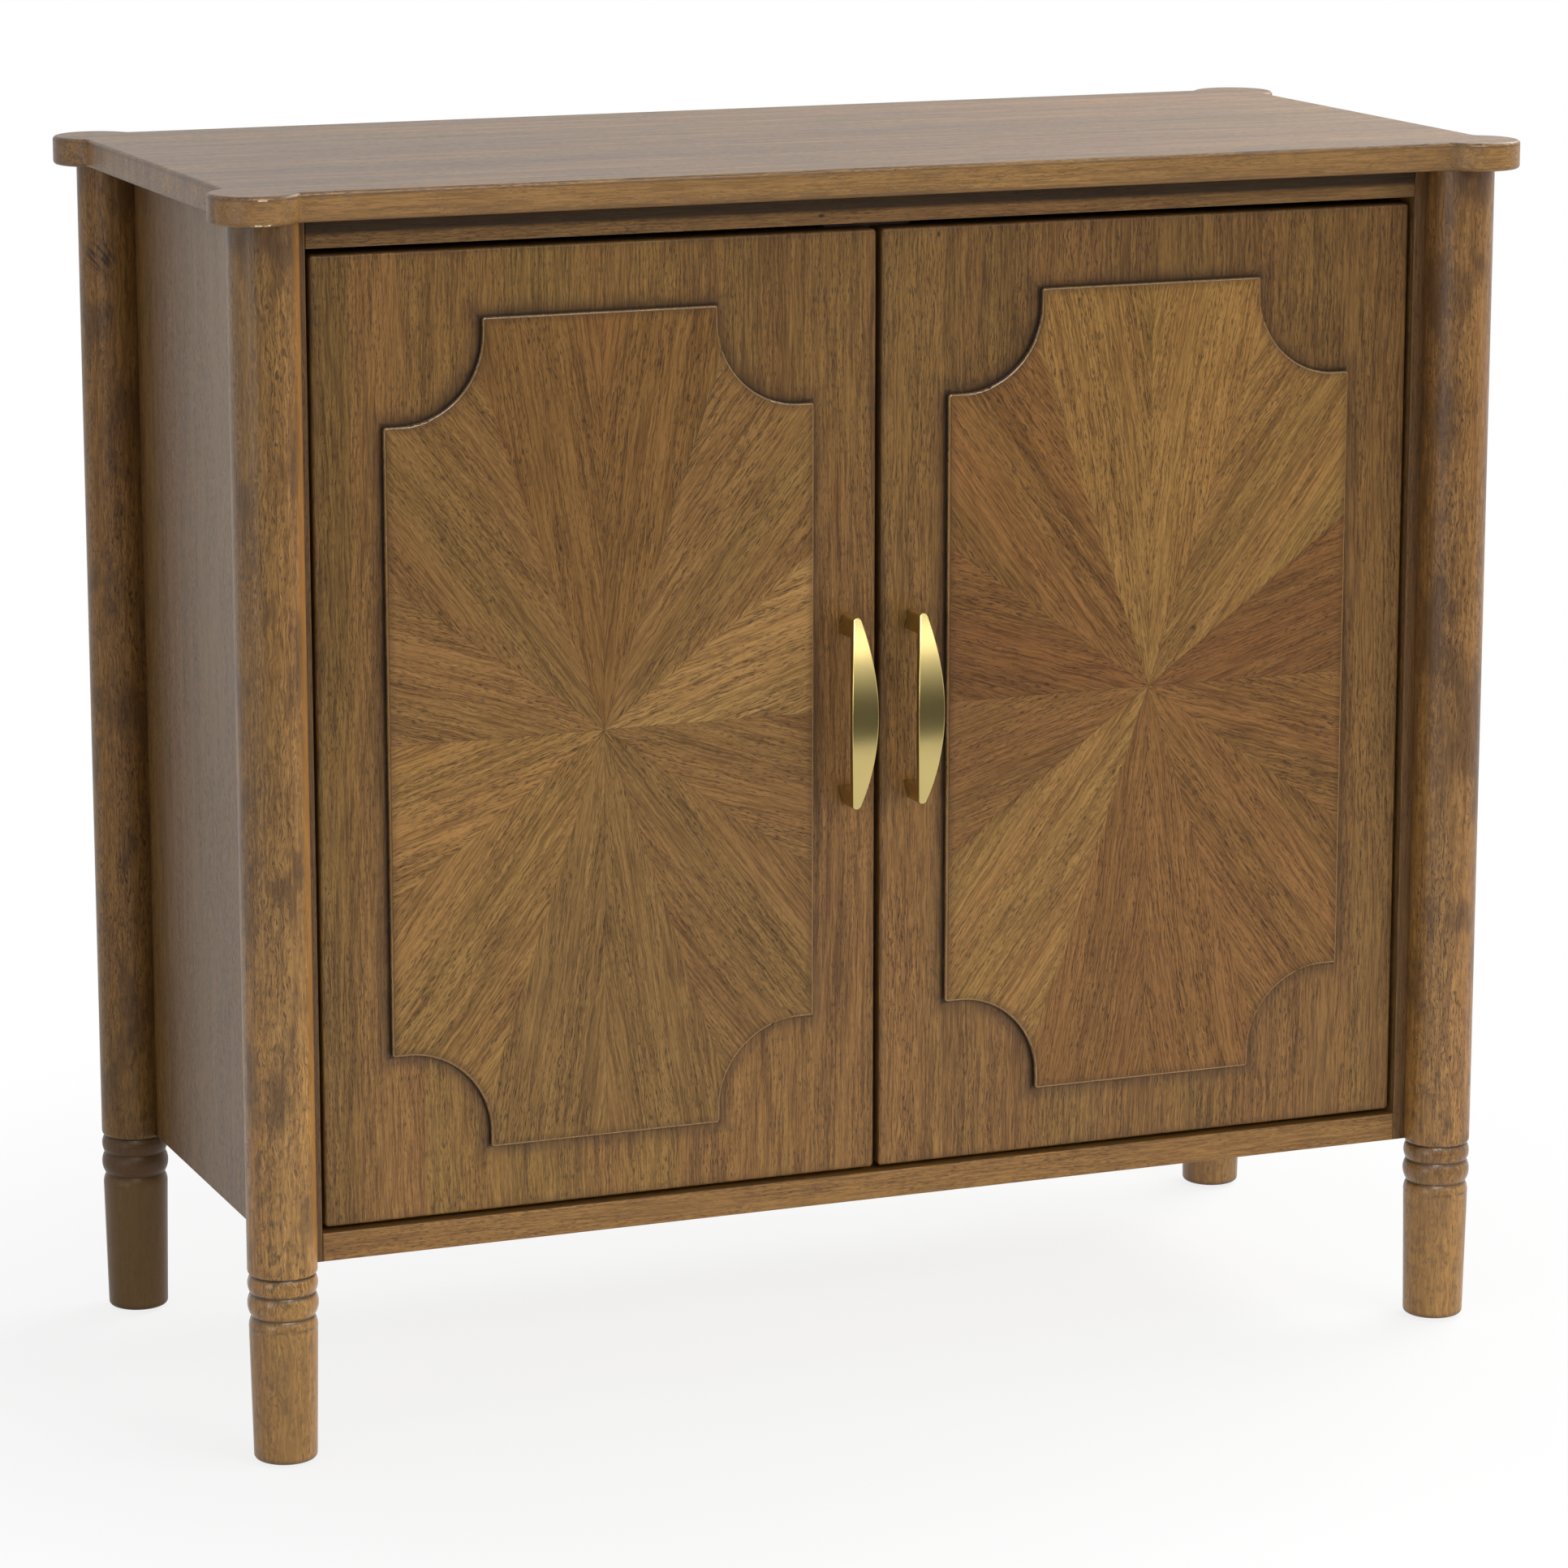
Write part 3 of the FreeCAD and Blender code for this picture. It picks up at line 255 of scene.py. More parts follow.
def lacquered(s, color, pores, fibre, depth=0.12 * MM, roughness=0.4, shine=0.3):
    """Satin lacquer over a bump, as deep as the depth says, that still shows fibre and pores."""
    height = s.minus(s.times(fibre, 0.35), pores)
    rough = s.plus(roughness, s.times(s.minus(fibre, 0.5), 0.08))
    return s.finish(color, rough, s.bump(height, depth), Specular_IOR_Level=shine)


def dark_spot(s, color, place, half_width, half_height):
    """A small knot: an oval of dark stain on any side of the piece."""
    dx = s.times(s.minus(s.x, place[0]), 1 / half_width)
    dz = s.times(s.minus(s.z, place[1]), 1 / half_height)
    reach = s.plus(s.times(dx, dx), s.times(dz, dz))
    return s.mix(s.fade(reach, 0.3, 1.4, 0.85, 0.0), color, PORE_STAIN)


def axes_of(s, way):
    """The coordinates along, across and through wood whose grain runs along one axis."""
    return {"X": (s.x, s.y, s.z), "Y": (s.y, s.x, s.z), "Z": (s.z, s.x, s.y)}[way]


# Small knots: place across and up, half width and half height
KNOTS = {
    "top_front_rail": ((-42 * MM, 794 * MM), 2.4 * MM, 1.2 * MM),
    "right_door_board": ((42 * MM, 778 * MM), 1.1 * MM, 2.2 * MM),
}

# Above this height dark glaze and painted shade darken the corner under the top's overhang
GLAZE_AND_SHADE_ABOVE = {"top_front_rail": 797 * MM}


def wood(name, way, stain, contrast=1.0, pore_share=PORE_SHARE, roughness=0.4):
    """A board whose grain runs along X, Y or Z."""
    s = Shader(name)
    tone, pores, fibre, warmth = grain(s, *axes_of(s, way), seed_of(name))
    color = tinted(s, stain, tone, pores, warmth, contrast, pore_share)
    if name in KNOTS:
        color = dark_spot(s, color, *KNOTS[name])
    if name in GLAZE_AND_SHADE_ABOVE:
        height = GLAZE_AND_SHADE_ABOVE[name]
        # Dark glaze and painted shade from the top's overhang
        color = s.mix(s.fade(s.z, height - 2 * MM, height + 1.5 * MM, 0.0, 0.82), color, GLAZE_AND_SHADE)
    return lacquered(s, color, pores, fibre, roughness=roughness)


def side_wood(name):
    """A side panel: upright grain, with painted sheen that makes its outer face paler towards the front
    and the top.
    """
    s = Shader(name)
    tone, pores, fibre, warmth = grain(s, *axes_of(s, "Z"), seed_of(name))
    color = tinted(s, PANEL, tone, pores, warmth, 0.8)
    low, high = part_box(name)
    outer_face = max(abs(low[0]), abs(high[0])) - 1 * MM
    outside = s.math("GREATER_THAN", s.size(s.x), outer_face)
    # Painted sheen on the outer face, paler towards the front and the top
    painted_sheen = s.fade(s.y, 150 * MM, -175 * MM, 0.0, 0.5)
    painted_sheen = s.times(painted_sheen, s.fade(s.z, 350 * MM, 800 * MM, 0.5, 1.2))
    color = s.mix(s.times(outside, painted_sheen), color, SHEEN_GREY)
    front_edge = s.fade(s.y, low[1] + 1 * MM, low[1] + 3 * MM, 0.4, 0.0)
    return lacquered(s, s.mix(front_edge, color, DARK_STAIN_AND_SHADE), pores, fibre)


# Turned posts

# Heights of the grooves, and how far the glaze in each reaches
GROOVES = ((126.7 * MM, 1.9 * MM), (114.4 * MM, 2.4 * MM), (98.8 * MM, 2.4 * MM))
# The middle of the turned work with its shoulder, and of the beads alone
TURNING = 108 * MM
BEADS = 112 * MM
# Below the lowest groove, where the foot's shoulder ends, the stain has left a broken ring
KNEE = 92 * MM
# Over this height the gold stain and the painted light of the foot go over into those of the shaft
FOOT_FADE = 40 * MM

# Waves a metre of the blotches and of the smudges, across, back and up
BLOTCHES = (34.0, 34.0, 16.0)
SMUDGES = (170.0, 170.0, 95.0)
# From the first height to the second, painted shade darkens a post more and more under its ear
EAR_SHADE_HEIGHTS = (772 * MM, 806 * MM)

# Painted light and shade on each post: how light its stain is made on the left and on the right, low on
# its shaft, and on its foot
POST_PAINTED_LIGHT = {
    "front_left_post": (1.0, 1.32, 1.4, 0.92),
    "rear_left_post": (1.0, 0.5, 0.95, 0.25),
    "front_right_post": (1.0, 1.0, 1.25, 1.15),
    "rear_right_post": (1.0, 1.0, 1.1, 1.1),
}
# How much darker the beads are made on some posts
DARK_BEADS = {"front_right_post": 0.3, "rear_left_post": 0.7}
# How much each post shines, and the roughness of its beads and shoulder
POST_SHINE = {
    "front_left_post": (0.42, 0.22),
    "rear_left_post": (0.22, 0.36),
    "front_right_post": (0.42, 0.22),
    "rear_right_post": (0.42, 0.22),
}
# Between these two places painted orange light brightens the side of a post that faces its door
WARM_LIT_SIDE = {"front_left_post": (-409 * MM, -401 * MM)}
# Where a branch has left dark streaks in a post: side, front and height, and their reach
BRANCH = {"rear_left_post": ((-434.6 * MM, 160.6 * MM, 748 * MM), 15 * MM)}


def painted_post_light(s, name):
    """The painted light and shade on a post: from its left to its right, times the lower shaft's share
    and the foot's.
    """
    low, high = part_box(name)
    left, right, below, foot = POST_PAINTED_LIGHT[name]
    light = s.fade(s.x, low[0] + 6 * MM, high[0] - 6 * MM, left, right)
    light = s.times(light, s.fade(s.z, 150 * MM, 450 * MM, below, 1.0))
    return s.times(light, s.fade(s.z, KNEE, KNEE + FOOT_FADE, foot, 1.0))


def blotches_and_ear_shade(s, color):
    """Dark stain in soft blotches 30 mm wide and in smudges of 6 mm, and painted shade under the ears.
    """
    blotch = s.noise(s.spread(*BLOTCHES), 1.0, 3.0, 0.6)
    share = s.times(s.fade(blotch, 0.5, 0.64), s.fade(s.z, 100 * MM, 200 * MM, 0.3, 0.6))
    color = s.mix(share, color, DARK_STAIN_AND_SHADE)
    smudge = s.noise(s.spread(*SMUDGES), 1.0, 3.0, 0.65)
    share = s.times(s.fade(smudge, 0.52, 0.68), s.fade(s.z, 100 * MM, 350 * MM, 0.6, 0.32))
    color = s.mix(share, color, DARK_STAIN_AND_SHADE)
    # Painted shade under the ear
    ear_shade = s.times(s.fade(s.z, *EAR_SHADE_HEIGHTS), s.fade(blotch, 0.4, 0.6, 0.2, 0.8))
    return s.mix(ear_shade, color, DARK_STAIN_AND_SHADE)


def branch_streaks(s, color, place, reach):
    """Thin dark streaks that fan slantwise out of a hidden branch."""
    offset = s.node("ShaderNodeVectorMath", {0: s.place, 1: place}, operation="SUBTRACT").outputs[0]
    far = s.node("ShaderNodeVectorMath", {0: offset}, operation="LENGTH").outputs["Value"]
    side, up = s.minus(s.x, place[0]), s.minus(s.z, place[2])
    slant = s.plus(s.times(side, 0.8), s.times(up, 0.6))
    run = s.minus(s.times(up, 0.8), s.times(side, 0.6))
    streaks = s.noise(s.vector(s.times(slant, 520.0), s.times(run, 60.0), 0.0), 1.0, 1.0)
    share = s.fade(far, 0.35 * reach, reach, 1.0, 0.0)
    share = s.times(share, s.fade(streaks, 0.46, 0.6, 0.1, 0.85))
    return s.mix(share, color, PORE_STAIN)


def glazed_turning(s, color, name):
    """Glaze in the grooves and in a broken ring at the knee, darker beads on some posts, and glaze round
    the sole.
    """
    patches = s.noise(s.place, 150.0, 3.0)
    for height, reach in GROOVES:
        ring = s.fade(s.size(s.minus(s.z, height)), 0.0, reach, 1.0, 0.0)
        color = s.mix(s.times(ring, s.fade(patches, 0.3, 0.6, 0.8, 1.0)), color, GLAZE_AND_SHADE)
    ring = s.fade(s.size(s.minus(s.z, KNEE)), 0.0, 2 * MM, 1.0, 0.0)
    color = s.mix(s.times(ring, s.fade(patches, 0.44, 0.55, 0.0, 0.78)), color, GLAZE_AND_SHADE)
    color = s.mix(s.fade(s.z, KNEE, KNEE + FOOT_FADE, 0.3, 0.0), color, GOLD)
    if name in DARK_BEADS:
        off = s.size(s.minus(s.z, BEADS))
        color = s.mix(s.fade(off, 13 * MM, 16 * MM, DARK_BEADS[name], 0.0), color, DARK_STAIN_AND_SHADE)
    return s.mix(s.fade(s.z, 2 * MM, 7 * MM, 0.6, 0.0), color, GLAZE_AND_SHADE)


def post_wood(name):
    """A turned post: vertical grain, painted light and shade, blotches of dark stain, and glaze in the
    turned work.
    """
    s = Shader(name)
    tone, pores, fibre, warmth = grain(s, *axes_of(s, "Z"), seed_of(name), 3 * MM)
    color = tinted(s, CASE, tone, pores, warmth, 0.85)
    # Painted light and shade over the stain, then blotches and painted shade under the ear
    color = blotches_and_ear_shade(s, s.lit(color, painted_post_light(s, name)))
    if name in BRANCH:
        color = branch_streaks(s, color, *BRANCH[name])
    # Painted orange light on the side that faces the door
    if name in WARM_LIT_SIDE:
        color = s.mix(s.fade(s.x, *WARM_LIT_SIDE[name], 0.0, 0.62), color, ORANGE_LIGHT)
    color = glazed_turning(s, color, name)
    shine, bead_roughness = POST_SHINE[name]
    polish = s.fade(s.size(s.minus(s.z, TURNING)), 17 * MM, 21 * MM, bead_roughness, 0.35)
    return lacquered(s, color, pores, fibre, 0.07 * MM, polish, shine)


# Doors

# The circles that cut a plaque's corners, and how far their middles stand inside its outline
PLAQUE_COVE = 57 * MM
PLAQUE_STEP = 10 * MM

# How far glaze with painted shade reaches out from a plaque, as a soft rim and as a dark line,
# and how far the darker edges reach in from the edges of a door and of a sunburst
RIM_REACH = 13 * MM
LINE_REACH = 2.2 * MM
EDGE_REACH = 7 * MM

# Where the face veneer of each door is joined, from left to right, and the tint of each strip
DOOR_JOINTS = {
    "left": (-362 * MM, -319 * MM, -142 * MM, -47 * MM),
    "right": (48.5 * MM, 196 * MM, 355 * MM),
}
STRIP_TINTS = {
    "left": ((0.93, 0.96, 0.86), (1.08, 1.05, 1.1), (1.02, 1.04, 0.98),
             (0.95, 0.93, 0.92), (0.97, 0.95, 1.0)),
    "right": ((0.96, 0.94, 0.98), (0.86, 0.84, 0.86), (0.84, 0.82, 0.82), (0.84, 0.82, 0.82)),
}


def centre_of(low, high):
    """The middle of a box on the door's face: across and up."""
    return (low[0] + high[0]) / 2, (low[2] + high[2]) / 2


def outline_distance(s, low, high):
    """How far a point lies outside the box on the door's face, negative inside it."""
    middle, centre = centre_of(low, high)
    across = s.minus(s.size(s.minus(s.x, middle)), (high[0] - low[0]) / 2)
    up = s.minus(s.size(s.minus(s.z, centre)), (high[2] - low[2]) / 2)
    return s.math("MAXIMUM", across, up)


def plaque_distance(s, side):
    """How far a point lies outside a plaque's outline on the door's face, negative inside it.

    The greater of the distances from its box and into the circles that cut its corners.
    """
    low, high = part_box(f"{side}_door_overlay")
    middle, centre = centre_of(low, high)
    half_width, half_height = (high[0] - low[0]) / 2, (high[2] - low[2]) / 2
    dx = s.minus(s.size(s.minus(s.x, middle)), half_width - PLAQUE_STEP)
    dz = s.minus(s.size(s.minus(s.z, centre)), half_height - PLAQUE_STEP)
    reach = s.math("SQRT", s.plus(s.times(dx, dx), s.times(dz, dz)))
    return s.math("MAXIMUM", outline_distance(s, low, high), s.minus(PLAQUE_COVE, reach))


def veneer_strips(s, side):
    """The strips of a door's face veneer: the number of the strip, and its tint."""
    tints = STRIP_TINTS[side]
    strip, tint = 0.0, tints[0]
    for joint, after in zip(DOOR_JOINTS[side], tints[1:]):
        past = s.math("GREATER_THAN", s.x, joint)
        strip = s.plus(strip, past)
        tint = s.mix(past, tint, after)
    return strip, tint


def glaze_and_shade_front(s, color, side, low, high):
    """On a door board: glaze and painted shade round the plaque, glaze along the board's edges, and
    plain stain behind.
    """
    patches = s.noise(s.place, 42.0, 3.0, 0.6)
    front = s.math("LESS_THAN", s.y, low[1] + 4 * MM)
    distance = plaque_distance(s, side)
    # Glaze and painted shade round the raised plaque: a soft rim and a dark line
    rim = s.times(s.fade(distance, 0.0, RIM_REACH, 0.72, 0.0), s.fade(patches, 0.25, 0.7, 0.4, 1.0))
    line = s.fade(distance, 0.0, LINE_REACH, 0.75, 0.0)
    color = s.mix(s.times(rim, front), color, DARK_STAIN_AND_SHADE)
    color = s.mix(s.times(line, front), color, GLAZE_AND_SHADE)
    edge = s.fade(outline_distance(s, low, high), -EDGE_REACH, 0.0)
    color = s.mix(s.times(edge, s.fade(patches, 0.3, 0.7, 0.15, 0.55)), color, DARK_STAIN_AND_SHADE)
    return s.mix(s.times(s.minus(1.0, front), 0.45), color, BACK_STAIN)


def door_wood(name, side):
    """A door board: strips of upright veneer under glaze, with painted light that makes it a little
    lighter towards the bottom.
    """
    s = Shader(name)
    strip, tint = veneer_strips(s, side)
    through = s.plus(s.y, s.times(strip, 0.37))
    tone, pores, fibre, warmth = grain(s, s.z, s.x, through, seed_of(name))
    # Painted light: a little lighter towards the bottom
    tint = s.lit(tint, s.fade(s.z, 120 * MM, 750 * MM, 1.1, 0.95))
    color = tinted(s, s.tint(DOOR, tint), tone, pores, warmth, pore_share=FINE_PORE_SHARE)
    if name in KNOTS:
        color = dark_spot(s, color, *KNOTS[name])
    return lacquered(s, glaze_and_shade_front(s, color, side, *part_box(name)), pores, fibre)


def plaque_wood(name):
    """The plaque's edge: dark glaze with painted shade towards the door, and a painted highlight along
    the front under glossier lacquer.
    """
    s = Shader(name)
    tone, pores, fibre, warmth = grain(s, *axes_of(s, "Z"), seed_of(name))
    color = tinted(s, DOOR, tone, pores, warmth)
    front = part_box(name)[0][1]
    patches = s.noise(s.place, 55.0, 3.0, 0.6)
    # Glaze and painted shade on the side wall, darker towards the door
    back = s.fade(s.y, front + 0.6 * MM, front + 2.4 * MM)
    color = s.mix(s.times(back, s.fade(patches, 0.25, 0.65, 0.75, 1.0)), color, GLAZE_AND_SHADE)
    # Painted highlight along the front
    color = s.mix(s.fade(s.y, front + 0.1 * MM, front + 0.9 * MM, 0.5, 0.0), color, GOLD)
    return lacquered(s, color, pores, fibre, roughness=0.26, shine=0.7)


# Sunbursts

# The leaves of a sunburst part at these degrees from the horizontal, up and down on both sides
SEAMS = (0.0, 35.5, 71.0, 90.0)
FIRST_SEAM, SECOND_SEAM = math.radians(SEAMS[1]), math.radians(SEAMS[2])
LEAF_BREAKS = sorted({(half + way * seam) % 360
                      for half in (0, 180) for way in (1, -1) for seam in SEAMS})

# Stains of the leaves and their painted sheen, as a factor on each, counted from the right-hand
# horizontal against the clock
LEAF_STAINS = {
    "left": (GOLD, OLIVE, UMBER, UMBER, OLIVE, OLIVE, HONEY, HONEY, OLIVE, OLIVE, OLIVE, OLIVE),
    "right": (RUSSET, HONEY, HONEY, HONEY, UMBER, RUSSET, UMBER, HONEY, UMBER, UMBER, UMBER, UMBER),
}
LEAF_SHEEN_SHARES = {
    "left": (1.02, 0.99, 1.0, 0.97, 0.96, 1.06, 1.07, 1.03, 1.06, 1.05, 0.98, 1.0),
    "right": (0.99, 0.95, 1.03, 0.97, 1.02, 1.0, 1.0, 1.02, 1.05, 1.08, 1.05, 1.0),
}


def leaf_stains_and_sheen(s, dx, dz, side):
    """The stain of the leaf that lies at the angle of dx and dz round the centre, times its painted
    sheen.
    """
    turn = s.times(s.math("ARCTAN2", dz, dx), 1 / (2 * math.pi))
    stops = []
    for degrees, stain, share in zip(LEAF_BREAKS, LEAF_STAINS[side], LEAF_SHEEN_SHARES[side]):
        stops.append((degrees / 360, tuple(part * share for part in stain)))
    return s.ramp(s.math("FRACT", s.plus(turn, 1.0)), stops, "CONSTANT")


def leaf_grain(s, dx, dz, seed):
    """Grain that runs straight out along each leaf's middle line.

    The quarters are folded onto one another, so that the leaves that meet at the cross lines are
    book-matched. There the middle lines stand halfway between the seams.
    """
    fx, fz = s.size(dx), s.size(dz)
    angle = s.math("ARCTAN2", fz, fx)
    past_first = s.math("GREATER_THAN", angle, FIRST_SEAM)
    past_second = s.math("GREATER_THAN", angle, SECOND_SEAM)
    heading = s.plus(FIRST_SEAM / 2, s.times(past_first, SECOND_SEAM / 2))
    heading = s.plus(heading, s.times(past_second, (math.pi / 2 - FIRST_SEAM) / 2))
    cos, sin = s.math("COSINE", heading), s.math("SINE", heading)
    along = s.plus(s.times(fx, cos), s.times(fz, sin))
    across = s.minus(s.times(fz, cos), s.times(fx, sin))
    leaf = s.plus(s.times(past_first, 0.31), s.times(past_second, 0.47))
    right, upper = s.math("GREATER_THAN", dx, 0.0), s.math("GREATER_THAN", dz, 0.0)
    quarter = s.plus(s.times(right, 0.004), s.times(upper, 0.009))
    return grain(s, along, across, s.plus(leaf, quarter), seed)


def seam_distance(s, dx, dz):
    """How far a point lies from the nearest seam between two leaves."""
    fx, fz = s.size(dx), s.size(dz)
    nearest = s.math("MINIMUM", fx, fz)
    for seam in (FIRST_SEAM, SECOND_SEAM):
        off = s.size(s.minus(s.times(fz, math.cos(seam)), s.times(fx, math.sin(seam))))
        nearest = s.math("MINIMUM", nearest, off)
    return nearest


def sunburst(name, side):
    """Twelve veneer leaves that meet at the middle, each with its painted sheen, with fine dark seams
    and a darker rim.
    """
    s = Shader(name)
    middle, centre = centre_of(*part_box(name))
    dx, dz = s.minus(s.x, middle), s.minus(s.z, centre)
    tone, pores, fibre, warmth = leaf_grain(s, dx, dz, seed_of(name))
    stain = leaf_stains_and_sheen(s, dx, dz, side)
    color = tinted(s, stain, tone, pores, warmth, 0.9, FINE_PORE_SHARE)
    color = s.mix(s.fade(seam_distance(s, dx, dz), 0.1 * MM, 0.35 * MM, 0.4, 0.0), color, DARK_STAIN_AND_SHADE)
    rim = s.fade(plaque_distance(s, side), -EDGE_REACH, -1.6 * MM)
    color = s.mix(s.times(rim, 0.35), color, DARK_STAIN_AND_SHADE)
    color = s.lit(color, s.fade(s.z, 300 * MM, 720 * MM, 0.87, 0.95))
    return lacquered(s, color, pores, fibre, 0.1 * MM, 0.38, 0.2)


# Top

# Chips along the edges of the front left ear: their side, and each one's height, half length and
# half height
CHIP_SIDE = -431 * MM
CHIPS = ((824.6 * MM, 4 * MM, 0.5 * MM), (809.2 * MM, 8 * MM, 0.7 * MM))
# Half the length over which painted light makes the top lighter to the right, and its edge darker
TOP_REACH = 420 * MM
# Waves a metre of the top's dark streaks, along them and across them
TOP_STREAKS = (1.6, 75.0, 0.0)
# How far the top's eased arris reaches down
TOP_ARRIS = 2.4 * MM


def edge_tone(s, color, front, low, high):
    """The top's edge: lighter at the front, with a dark line under the arris and at the bottom."""
    arris = high[2] - TOP_ARRIS
    edge = s.mix(0.45, s.tint(color, (1.12, 1.08, 0.98)), EDGE)
    edge = s.lit(edge, s.fade(s.x, -TOP_REACH, TOP_REACH, 0.97, 0.87))
    below = s.fade(s.z, arris, arris + 1.2 * MM, 1.0, 0.0)
    color = s.mix(s.times(below, front), color, edge)
    line = s.fade(s.size(s.minus(s.z, arris)), 0.0, 1.3 * MM, 0.5, 0.0)
    color = s.mix(line, color, DARK_STAIN_AND_SHADE)
    return s.mix(s.fade(s.z, low[2] + 1 * MM, low[2] + 4 * MM, 0.4, 0.0), color, DARK_STAIN_AND_SHADE)


def chipped(s, color, front):
    """Small chips that bare the wood on the front left ear."""
    patches = s.noise(s.place, 420.0, 2.0)
    for height, length, width in CHIPS:
        across = s.fade(s.size(s.minus(s.x, CHIP_SIDE)), 0.6 * length, length, 1.0, 0.0)
        up = s.fade(s.size(s.minus(s.z, height)), 0.5 * width, width, 1.0, 0.0)
        chip = s.times(s.times(across, up), s.times(front, s.fade(patches, 0.44, 0.54)))
        color = s.mix(chip, color, BARE_WOOD)
    return color


def top_wood(name):
    """The top: long grain, dark streaks across the cabinet, and painted light that makes it lighter to
    the right.
    """
    s = Shader(name)
    tone, pores, fibre, warmth = grain(s, *axes_of(s, "X"), seed_of(name))
    color = tinted(s, CASE, tone, pores, warmth, 1.35, 0.7)
    low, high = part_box(name)
    streaks = s.noise(s.spread(*TOP_STREAKS), 1.0, 3.0, 0.6)
    color = s.mix(s.fade(streaks, 0.38, 0.66, 0.0, 0.48), color, DARK_STAIN_AND_SHADE)
    # Painted light: lighter to the right
    color = s.lit(color, s.fade(s.x, -TOP_REACH, TOP_REACH, 1.04, 1.36))
    front = s.math("LESS_THAN", s.y, low[1] + 20 * MM)
    color = chipped(s, edge_tone(s, color, front, low, high), front)
    return lacquered(s, color, pores, fibre, shine=0.45)


# Metals and plastics

# Waves a metre of the brushing, along its lines and across them
BRUSHED = (30.0, 2600.0)


def metal(name, color, roughness, way="Z"):
    """Metal with fine brushing along one axis and faint smudges in its gloss."""
    s = Shader(name)
    long, thin = BRUSHED
    scales = {"X": (long, thin, thin), "Y": (thin, long, thin), "Z": (thin, thin, long)}[way]
    lines = s.noise(s.spread(*scales), 1.0, 2.0)
    smudge = s.noise(s.place, 60.0, 3.0)
    dull = tuple(part * 0.8 for part in color)
    tint = s.mix(s.fade(smudge, 0.35, 0.7, 0.0, 0.12), color, dull)
    rough = s.plus(roughness - 0.05, s.plus(s.times(smudge, 0.06), s.times(lines, 0.05)))
    return s.finish(tint, rough, s.bump(lines, 0.02 * MM, 0.5), metallic=1.0)


def plastic(name, color, roughness):
    """Moulded plastic with a fine texture."""
    s = Shader(name)
    texture = s.noise(s.place, 2200.0, 2.0)
    smudge = s.noise(s.place, 90.0, 3.0)
    dull = tuple(part * 0.7 for part in color)
    tint = s.mix(s.fade(smudge, 0.3, 0.7, 0.0, 0.3), color, dull)
    return s.finish(tint, s.plus(roughness, s.times(smudge, 0.08)), s.bump(texture, 0.03 * MM))


# Pieces and their materials

# Boards that only an open door or the back shows, and the way their grain runs
INNER_BOARDS = {
    "bottom_panel": "X", "top_rear_rail": "X", "left_top_cleat": "Y", "right_top_cleat": "Y",
    "back_panel": "Z", "shelf": "X",
}
DOWELS = ("case_dowels", "post_dowels", "top_dowels")
CASE_SCREWS = ("top_screws", "cleat_screws", "back_panel_screws", "hinge_plate_screws",
               "hinge_arm_screws", "catch_screws")
DOOR_SCREWS = ("handle_screws", "hinge_cup_screws", "hinge_pins", "strike_screw")


def dress(node, material):
    """Gives a CAD node its material."""
    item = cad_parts[node]
    if not item.material_slots:
        item.data.materials.append(material)
    for slot in item.material_slots:
        slot.material = material


def dress_case():
    """The posts, panels, rails, top and inner boards."""
    for node in POST_PAINTED_LIGHT:
        dress(node, post_wood(node))
    for node in ("left_side_panel", "right_side_panel"):
        dress(node, side_wood(node))
    dress("bottom_front_rail", wood("bottom_front_rail", "X", CASE, 0.7, 0.5))
    dress("top_front_rail", wood("top_front_rail", "X", PANEL, 0.7, 0.5))
    dress("top_panel", top_wood("top_panel"))
    for node, way in INNER_BOARDS.items():
        dress(node, wood(node, way, INSIDE, 0.55, 0.4, 0.5))
    for node in DOWELS:
        dress(node, wood(node, "X", BEECH, roughness=0.6))


def dress_door(side):
    """A door with its plaque, sunburst, handle and fittings."""
    dress(f"{side}_door_board", door_wood(f"{side}_door_board", side))
    dress(f"{side}_door_overlay", plaque_wood(f"{side}_door_overlay"))
    dress(f"{side}_sunburst_veneers", sunburst(f"{side}_sunburst_veneers", side))
    dress(f"{side}_handle", metal(f"{side}_handle_brass", BRASS, 0.24, "Z"))
    for level in ("lower", "upper"):
        hinge = f"{side}_{level}"
        dress(f"{hinge}_hinge_cup", metal(f"{hinge}_cup_nickel", NICKEL, 0.22, "Z"))
        dress(f"{hinge}_hinge_arm", metal(f"{hinge}_arm_nickel", NICKEL, 0.22, "Y"))
    dress(f"{side}_strike_plate", metal(f"{side}_strike_nickel", NICKEL, 0.25, "X"))
    for part in DOOR_SCREWS:
        dress(f"{side}_{part}", metal(f"{side}_{part}_steel", STEEL, 0.3, "Y"))


def dress_fittings():
    """The screws, pins, catch and glides of the case."""
    for node in CASE_SCREWS:
        dress(node, metal(f"{node}_steel", STEEL, 0.3, "Y"))
    dress("shelf_pins", metal("shelf_pins_nickel", NICKEL, 0.25, "X"))
    dress("hinge_plates", metal("hinge_plates_nickel", NICKEL, 0.25, "Y"))
    dress("catch_magnets", metal("catch_magnets_steel", MAGNET, 0.4, "X"))
    dress("catch_housing", plastic("catch_housing_plastic", BROWN_PLASTIC, 0.45))
    dress("foot_glides", plastic("foot_glides_plastic", DARK_PLASTIC, 0.4))


# Studio

WHITE = (1.0, 1.0, 1.0, 1.0)
# The light that comes from all round
ROOM_LIGHT = (0.98, 0.99, 1.0, 1.0)
ROOM_STRENGTH = 0.42
# Half the width of the floor
FLOOR_REACH = 40.0

# The floor fades into the white room between these distances from the middle
FLOOR_FADE = (0.45, 0.95)

